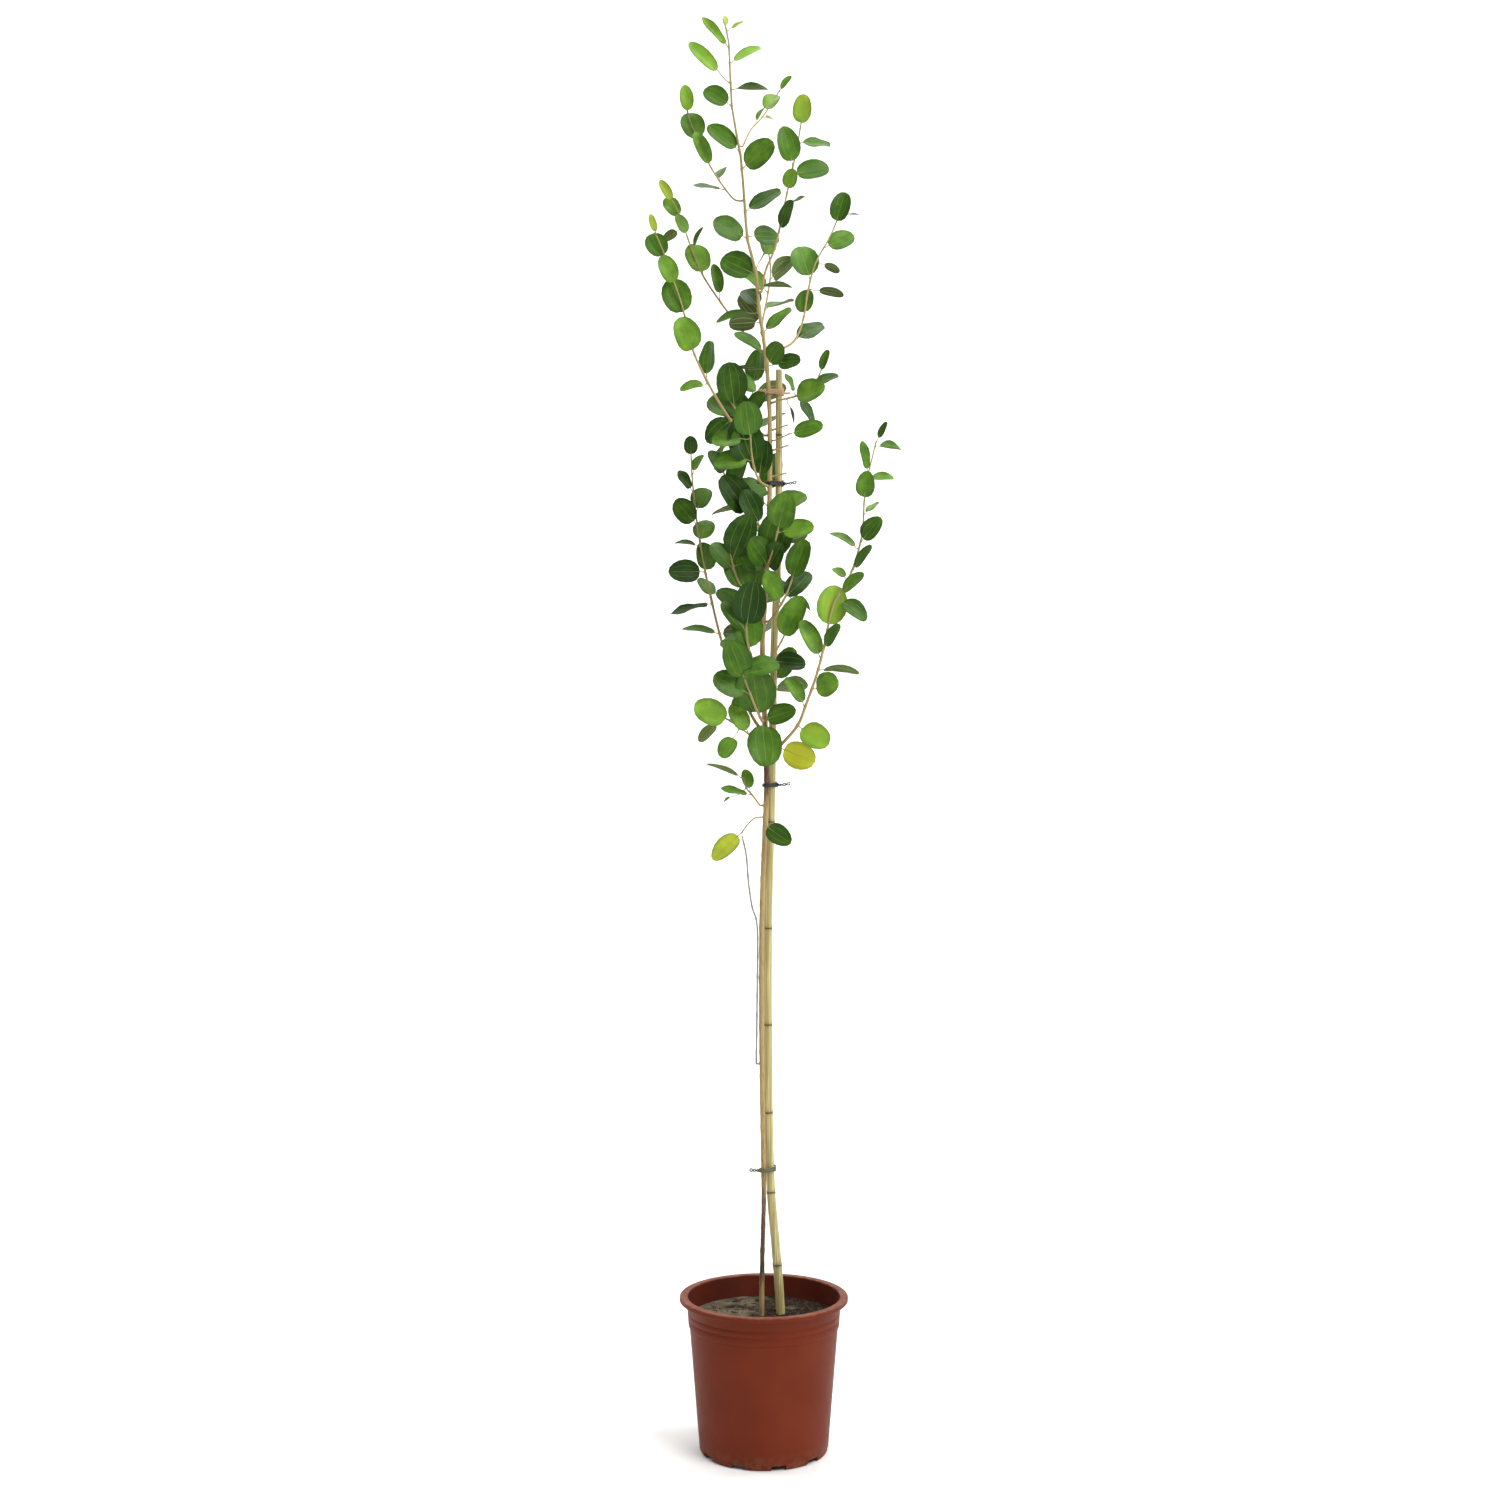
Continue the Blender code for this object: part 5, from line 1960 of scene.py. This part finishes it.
@dataclass
class Tie:
    """One tie: turns of cord round trunk and cane, a knot, and twisted loose ends."""

    node: str
    share: float
    tail_angle: float
    slot: str
    cord_radius: float = 0.0010
    turns: int = 3
    turn_points: int = 28
    tail: float = 0.014
    knot_radius: float = 0.0021
    far_tail: float = 0.0
    clearance: float = 0.0007
    turn_spacing: float = 1.9
    strand_steps: int = 14
    strand_twist: float = 9.0
    strand_spread: float = 0.9
    strand_rise: float = 0.1
    strand_width: float = 0.85
    knot_depth: float = 0.6
    knot_height: float = 1.25

    def ring(self, z: float, trunk: Sequence[Vector], cane: Sequence[Vector], lean: float) -> list[Vector]:
        """One turn of cord, pulled tight round both stems.

        Args:
            z: its height.
            trunk: the trunk's route.
            cane: the cane's route.
            lean: how much one side is higher than the other.

        Returns:
            The turn's points of (x, y, z, radius).
        """
        stems = [at_height(trunk, z), at_height(cane, z)]
        points = []
        for index in range(self.turn_points):
            angle = index * math.tau / self.turn_points
            out = Vector((math.cos(angle), math.sin(angle)))
            stem = max(stems, key=lambda place: place.xy.dot(out) + place.w)
            spot = stem.xy + out * (stem.w + self.clearance + self.cord_radius)
            points.append(Vector((spot.x, spot.y, z + lean * math.sin(angle + 0.7), self.cord_radius)))
        return points

    def build(self, trunk: Sequence[Vector], cane: Cane) -> bpy.types.Object:
        """Models the tie and hands it to the frame."""
        middle = cane.foot + self.share * cane.length
        gap = self.cord_radius * self.turn_spacing
        lowest = middle - (self.turns - 1) / 2 * gap
        rings = [
            self.ring(lowest + index * gap, trunk, cane.route, self.cord_radius * (index - 0.5))
            for index in range(self.turns)
        ]
        pieces = [tube(self.node + "_loops", rings, 2, closed=True)]
        near = Vector((math.cos(math.radians(self.tail_angle)), math.sin(math.radians(self.tail_angle)), 0))
        pieces += self.loose_end(rings[0], middle, near, self.tail)
        if self.far_tail:
            pieces += self.loose_end(rings[0], middle, -near, self.far_tail)
        tie = joined(self.node + "_cord", pieces)
        dress(tie, TIE_STUFF[self.slot].value.material())
        smooth_shade(tie, 50)
        return finish_piece(tie, self.slot, self.node)

    def loose_end(
        self, ring: Sequence[Vector], middle: float, out: Vector, tail: float
    ) -> list[bpy.types.Object]:
        """A knot with two twisted strands that stand out from it.

        Args:
            ring: one turn of the cord.
            middle: the tie's height.
            out: the way the strands point.
            tail: their length.

        Returns:
            The knot and the strands.
        """
        outermost = max(ring, key=lambda point: point.xyz.dot(out))
        centre = Vector((outermost.x, outermost.y, middle)) + out * self.knot_radius * self.knot_depth
        deselect_all()
        bpy.ops.mesh.primitive_uv_sphere_add(
            segments=12, ring_count=8, radius=self.knot_radius, location=(0, 0, 0)
        )
        knot = bpy.context.object
        knot.data.transform(Matrix.Translation(centre) @ Matrix.Diagonal((1.0, 1.0, self.knot_height, 1.0)))
        side = out.cross(Vector((0, 0, 1)))
        ends = []
        for turn in (0.0, math.pi):
            strand = []
            for step in range(self.strand_steps + 1):
                share = step / self.strand_steps
                angle = turn + share * self.strand_twist
                apart = self.cord_radius * self.strand_spread * (1 + share)
                swirl = side * math.cos(angle) * apart + Vector((0, 0, math.sin(angle) * apart))
                rise = Vector((0, 0, self.strand_rise * tail * share**2))
                place = centre + out * tail * share + rise + swirl
                strand.append(Vector((*place, self.cord_radius * self.strand_width)))
            ends.append(strand)
        return [knot, tube(self.node + "_ends", ends, 1)]


# How each tie is wound: its cord, its turns and its loose ends
TIE_WINDINGS = {
    "tie_low": {"cord_radius": 0.0011, "turns": 3, "tail": 0.013},
    "tie_middle": {"cord_radius": 0.0010, "turns": 3, "tail": 0.017},
    "tie_upper": {"cord_radius": 0.0009, "turns": 4, "tail": 0.017, "far_tail": 0.012},
    "tie_top": {"cord_radius": 0.0009, "turns": 5, "tail": 0.011, "far_tail": 0.010},
}


# ---- pot and soil ----


@dataclass
class Pot:
    """The nursery pot, turned from a profile: a stepped collar, a hanging lip and notches at its foot."""

    height: float = POT_HEIGHT
    foot_radius: float = 0.088
    top_radius: float = 0.1066
    wall: float = 0.0022
    floor: float = 0.003
    foot_round: float = 0.004
    collar_height: float = 0.040
    collar_step: float = 0.0014
    lip_overhang: float = 0.009
    lip_thickness: float = 0.003
    lip_drop: float = 0.006
    lip_round: float = 0.001
    bands: tuple[float, ...] = (0.010, 0.019)
    band_depth: float = 0.0005
    band_reach: float = 0.0012
    band_flat: float = 0.0004
    edge_round: float = 0.0005
    mitre: float = 0.0006
    segments: int = 96
    notch_count: int = 10
    notch_turn: float = -0.09
    notch_width: float = 0.020
    notch_height: float = 0.007

    def outer(self, z: float) -> float:
        """The outer radius at a height, without collar or lip."""
        return self.foot_radius + (self.top_radius - self.collar_step - self.foot_radius) * z / self.height

    def collar_foot(self) -> float:
        """The height where the collar starts."""
        return self.height - self.collar_height

    def inside(self, clearance: float, top: float) -> list[tuple[float, float]]:
        """(radius, height) down the inside from a height to the floor, moved in by a clearance."""
        step = self.collar_foot()
        return [
            (self.outer(top) + self.collar_step - self.wall - clearance, top),
            (self.outer(step) + self.collar_step - self.wall - clearance, step + self.wall + clearance),
            (self.outer(step) - self.wall - clearance, step + clearance - self.wall),
            (self.outer(self.floor) - self.wall - clearance, self.floor + clearance),
        ]

    def profile(self) -> list[tuple[float, float]]:
        """(radius, height) up the outside, over the lip and down the inside."""
        step = self.collar_foot()
        lip = self.top_radius + self.lip_overhang
        under = self.height - self.lip_thickness
        grooves = []
        for z in (step + band for band in self.bands):
            radius = self.outer(z) + self.collar_step
            grooves += [
                (radius, z - self.band_reach),
                (radius - self.band_depth, z - self.band_flat),
                (radius - self.band_depth, z + self.band_flat),
                (radius, z + self.band_reach),
            ]
        inside = self.inside(0, self.height - self.lip_round)
        return [
            (self.foot_radius - self.foot_round * 0.3, self.foot_round * 0.3),
            (self.outer(self.foot_round), self.foot_round),
            (self.outer(0.03), 0.03),
            (self.outer(step - 0.02), step - 0.02),
            (self.outer(step), step - self.collar_step),
            (self.outer(step) + self.collar_step * 0.8, step - self.mitre),
            (self.outer(step) + self.collar_step, step),
            *grooves,
            (self.top_radius, under),
            (lip - self.lip_thickness, under),
            (lip - self.lip_thickness, self.height - self.lip_drop),
            (lip - self.mitre, self.height - self.lip_drop),
            (lip, self.height - self.lip_drop + self.mitre),
            (lip, self.height - self.lip_round),
            (lip - self.lip_round, self.height),
            (inside[0][0] + self.lip_round, self.height),
            *inside,
        ]

    def turned(
        self, name: str, start: float, profile: Sequence[tuple[float, float]], z: float = 0.0
    ) -> bpy.types.Object:
        """Turns a profile: a disc is extruded ring by ring, and closed with a last disc.

        Args:
            name: the object's name.
            start: the radius of the first disc.
            profile: (radius, height) of each ring after it.
            z: the height of the first disc.

        Returns:
            The closed solid.
        """
        deselect_all()
        bpy.ops.mesh.primitive_circle_add(
            vertices=self.segments, radius=start, fill_type="NGON", location=(0, 0, 0)
        )
        solid = bpy.context.object
        solid.name = name
        solid.data.transform(Matrix.Translation((0, 0, z)))
        bpy.ops.object.mode_set(mode="EDIT")
        bpy.ops.mesh.select_mode(type="EDGE")
        bpy.ops.mesh.select_all(action="SELECT")
        radius, height = start, z
        for next_radius, next_height in profile:
            bpy.ops.mesh.extrude_edges_move(TRANSFORM_OT_translate={"value": (0, 0, next_height - height)})
            ratio = next_radius / radius
            bpy.ops.transform.resize(value=(ratio, ratio, 1), center_override=(0, 0, next_height))
            radius, height = next_radius, next_height
        bpy.ops.mesh.edge_face_add()
        bpy.ops.object.mode_set(mode="OBJECT")
        tidy_mesh(solid)
        return solid

    def notches(self) -> bpy.types.Object:
        """Cutters for the drainage notches at the corner of wall and floor."""
        cutters = []
        for index in range(self.notch_count):
            angle = index * math.tau / self.notch_count + self.notch_turn
            deselect_all()
            bpy.ops.mesh.primitive_cube_add(size=1.0, location=(0, 0, 0))
            cutter = bpy.context.object
            deep = 5 * self.wall + self.foot_round
            reach = self.foot_radius + 2 * self.wall - deep / 2
            size = Matrix.Diagonal((deep, self.notch_width, 2 * self.notch_height, 1.0))
            cutter.data.transform(Matrix.Rotation(angle, 4, "Z") @ Matrix.Translation((reach, 0, 0)) @ size)
            cutters.append(cutter)
        return joined("notch_cutters", cutters)

    def build(self) -> bpy.types.Object:
        """Models the pot and hands it to the frame."""
        shell = self.turned("pot_shell", self.foot_radius - self.foot_round, self.profile())
        cutters = self.notches()
        apply_modifier(shell, "BOOLEAN", operation="DIFFERENCE", object=cutters, solver="EXACT")
        bpy.data.objects.remove(cutters)
        sharp = math.radians(50)
        apply_modifier(
            shell, "BEVEL", width=self.edge_round, segments=2, limit_method="ANGLE", angle_limit=sharp
        )
        # The inner wall gets a darker pigment: painted shade inside the pot
        shaded_inside = MouldedPolypropylene("Polypropylene with painted inner shade", ("#431b10", "#522013", "#602717"))
        dress(shell, MouldedPolypropylene().material(), shaded_inside.material())
        # Faces looking inwards above the notches take the painted inner shade
        for face in shell.data.polygons:
            inward = face.center.xy.dot(face.normal.xy) < -0.3 * face.center.xy.length
            face.material_index = int(inward and face.center.z > self.notch_height)
        smooth_shade(shell, 40)
        return finish_piece(shell, "pot_plastic", "pot")


@dataclass
class Soil:
    """The compost: an uneven crumbly top with loose crumbs and bark chips, down to the pot's floor."""

    dome: float = 0.003
    clearance: float = 0.0004
    rings: int = 22
    lumps: float = 0.0030
    lump_size: float = 0.011
    crumbs: int = 260
    crumb_size: tuple[float, float] = (0.0010, 0.0030)
    chips: int = 46
    chip_size: tuple[float, float] = (0.0035, 0.0075)
    chip_thickness: float = 0.0014
    edge_gap: float = 0.006
    seating: tuple[float, float] = (-0.0012, 0.0006)
    unevenness: tuple[float, float] = (0.75, 1.2)
    seed: int = 11

    def top(self, pot: Pot) -> bpy.types.Object:
        """The body of compost with its uneven top.

        Args:
            pot: the pot that it fills.

        Returns:
            The closed body.
        """
        wall = pot.inside(self.clearance, SOIL_TOP - self.dome)
        up = list(reversed(wall[:-1]))
        body = pot.turned("compost", wall[-1][0], up, wall[-1][1])
        for face in body.data.polygons:
            face.select = face.normal.z > 0.9 and face.center.z > SOIL_TOP - 2 * self.dome
        pick(body)
        bpy.ops.object.mode_set(mode="EDIT")
        bpy.ops.mesh.select_mode(type="FACE")
        width = wall[0][0] / (self.rings + 1)
        for _ in range(self.rings):
            bpy.ops.mesh.inset(thickness=width)
        bpy.ops.mesh.poke()
        bpy.ops.object.mode_set(mode="OBJECT")
        edge = wall[0][0]
        group = body.vertex_groups.new(name="surface")
        for vertex in body.data.vertices:
            away = vertex.co.xy.length / edge
            if vertex.co.z > SOIL_TOP - 2 * self.dome:
                vertex.co.z += self.dome * (1 - away**2)
                group.add([vertex.index], min(1.0, 6 * (1 - away) + 0.2), "REPLACE")
        clumps = bpy.data.textures.new("compost clumps", "CLOUDS")
        clumps.noise_scale = self.lump_size
        clumps.noise_depth = 4
        apply_modifier(
            body,
            "DISPLACE",
            texture=clumps,
            strength=self.lumps,
            mid_level=0.6,
            direction="Z",
            vertex_group="surface",
        )
        return body

    def scattered(self, pot: Pot) -> list[bpy.types.Object]:
        """Loose crumbs and flat bark chips on the surface."""
        source = random.Random(self.seed)
        reach = pot.inside(self.clearance, SOIL_TOP)[0][0] - self.edge_gap
        pieces = []
        for index in range(self.crumbs + self.chips):
            chip = index < self.chips
            distance = reach * math.sqrt(source.random())
            angle = source.uniform(0, math.tau)
            size = source.uniform(*(self.chip_size if chip else self.crumb_size))
            deselect_all()
            if chip:
                bpy.ops.mesh.primitive_cube_add(size=1.0, location=(0, 0, 0))
                shape = Matrix.Diagonal((size * 1.5, size * 0.8, self.chip_thickness, 1.0))
            else:
                bpy.ops.mesh.primitive_ico_sphere_add(subdivisions=1, radius=0.5, location=(0, 0, 0))
                shape = Matrix.Diagonal((size * 1.2, size, size * 0.75, 1.0))
            loose = bpy.context.object
            for vertex in loose.data.vertices:
                vertex.co *= source.uniform(*self.unevenness)
            place = Vector((distance * math.cos(angle), distance * math.sin(angle), SOIL_TOP))
            place.z += -self.dome * (distance / reach) ** 2 + source.uniform(*self.seating)
            tilt = 0.35 if chip else math.pi
            turn = Matrix.Rotation(source.uniform(-tilt, tilt), 4, "X") @ Matrix.Rotation(
                source.uniform(0, math.tau), 4, "Z"
            )
            loose.data.transform(Matrix.Translation(place) @ turn @ shape)
            pieces.append(loose)
        return pieces

    def build(self, pot: Pot) -> bpy.types.Object:
        """Models the soil and hands it to the frame."""
        body = self.top(pot)
        soil = joined("potting_compost", [body, *self.scattered(pot)])
        dress(soil, PottingCompost().material())
        smooth_shade(soil, 40)
        return finish_piece(soil, "soil", "soil")


# ---- studio ----


@dataclass(frozen=True)
class SoftLight:
    """One square soft light: where it hangs, what it points at, its side and its power."""

    name: str
    place: tuple[float, float, float]
    aim: tuple[float, float, float]
    side: float
    watts: float


SOFT_LIGHTS = (
    SoftLight("key", (2.3, -2.3, 3.3), (0.0, 0.0, 0.9), 2.2, 130.0),
    SoftLight("top", (0.2, 0.4, 4.4), (0.0, 0.0, 0.0), 2.6, 90.0),
    SoftLight("backdrop left", (-2.6, 0.6, 3.0), (-1.2, 3.6, 1.6), 1.6, 60.0),
    SoftLight("backdrop right", (2.6, 0.6, 3.0), (1.2, 3.6, 1.6), 1.6, 60.0),
)


@dataclass
class Studio:
    """A plain pale floor that curves up behind the plant, soft lights, and the camera."""

    camera_place: tuple[float, float, float] = (-0.019, -2.72, 0.96)
    lens: float = 47.5
    sensor: float = 36.0
    floor_width: float = 14.0
    floor_front: float = -6.0
    floor_back: float = 3.6
    wall_height: float = 7.0
    sweep: float = 1.6
    sky: str = "#ffffff"
    sky_strength: float = 0.42

    def build_floor(self) -> bpy.types.Object:
        """Models the floor with its curved backdrop, and stages it."""
        deselect_all()
        bpy.ops.mesh.primitive_plane_add(size=1.0, location=(0, 0, 0))
        floor = bpy.context.object
        floor.name = "studio_floor"
        depth = self.floor_back - self.floor_front
        shape = Matrix.Diagonal((self.floor_width, depth, 1.0, 1.0))
        floor.data.transform(Matrix.Translation((0, (self.floor_back + self.floor_front) / 2, 0)) @ shape)
        bpy.ops.object.mode_set(mode="EDIT")
        bpy.ops.mesh.select_mode(type="EDGE")
        bpy.ops.mesh.select_all(action="DESELECT")
        bpy.ops.object.mode_set(mode="OBJECT")
        for edge in floor.data.edges:
            ends = [floor.data.vertices[index].co for index in edge.vertices]
            edge.select = all(end.y > self.floor_back - 0.01 for end in ends)
        bpy.ops.object.mode_set(mode="EDIT")
        bpy.ops.mesh.extrude_edges_move(TRANSFORM_OT_translate={"value": (0, 0, self.wall_height)})
        bpy.ops.object.mode_set(mode="OBJECT")
        apply_modifier(
            floor, "BEVEL", width=self.sweep, segments=16, limit_method="ANGLE", angle_limit=math.radians(60)
        )
        dress(floor, StudioPaint().material())
        smooth_shade(floor, 60)
        return floor

    def hang(self, light: SoftLight) -> None:
        """Adds one soft light.

        Args:
            light: where it hangs and how it shines.
        """
        deselect_all()
        bpy.ops.object.light_add(type="AREA", location=light.place)
        lamp = bpy.context.object
        lamp.name = light.name
        lamp.data.shape = "SQUARE"
        lamp.data.size = light.side
        lamp.data.energy = light.watts
        lamp.rotation_euler = (Vector(light.aim) - Vector(light.place)).to_track_quat("-Z", "Y").to_euler()

    def build(self) -> None:
        """Sets up floor, lights, sky and camera."""
        self.build_floor()
        for light in SOFT_LIGHTS:
            self.hang(light)
        world = bpy.context.scene.world or bpy.data.worlds.new("studio sky")
        bpy.context.scene.world = world
        world.use_nodes = True
        backdrop = world.node_tree.nodes["Background"]
        backdrop.inputs["Color"].default_value = linear_colour(self.sky)
        backdrop.inputs["Strength"].default_value = self.sky_strength
        deselect_all()
        bpy.ops.object.camera_add(location=self.camera_place, rotation=(math.pi / 2, 0, 0))
        camera = bpy.context.object
        camera.data.lens = self.lens
        camera.data.sensor_width = self.sensor
        bpy.context.scene.camera = camera
        bpy.context.scene.view_settings.view_transform = "Standard"


def main() -> None:
    """Builds every sub-assembly in order."""
    logging.basicConfig(level=logging.INFO, format="%(name)s: %(message)s")
    Studio().build()
    pot = Pot()
    pot.build()
    Soil().build(pot)
    cane = Cane()
    cane.build()
    trunk = Trunk()
    for node, share, tail_angle, slot in TIES:
        Tie(node, share, tail_angle, slot, **TIE_WINDINGS[node]).build(trunk.route, cane)
    DryTwig().build(trunk.route)
    leaves = LeafMaker()
    wood = Wood()
    trunk.build(leaves, wood)
    for shoot in SHOOTS:
        SideShoot(shoot).build(trunk.route, leaves, wood)
    leaves.discard_masters()


if __name__ == "__main__":
    main()
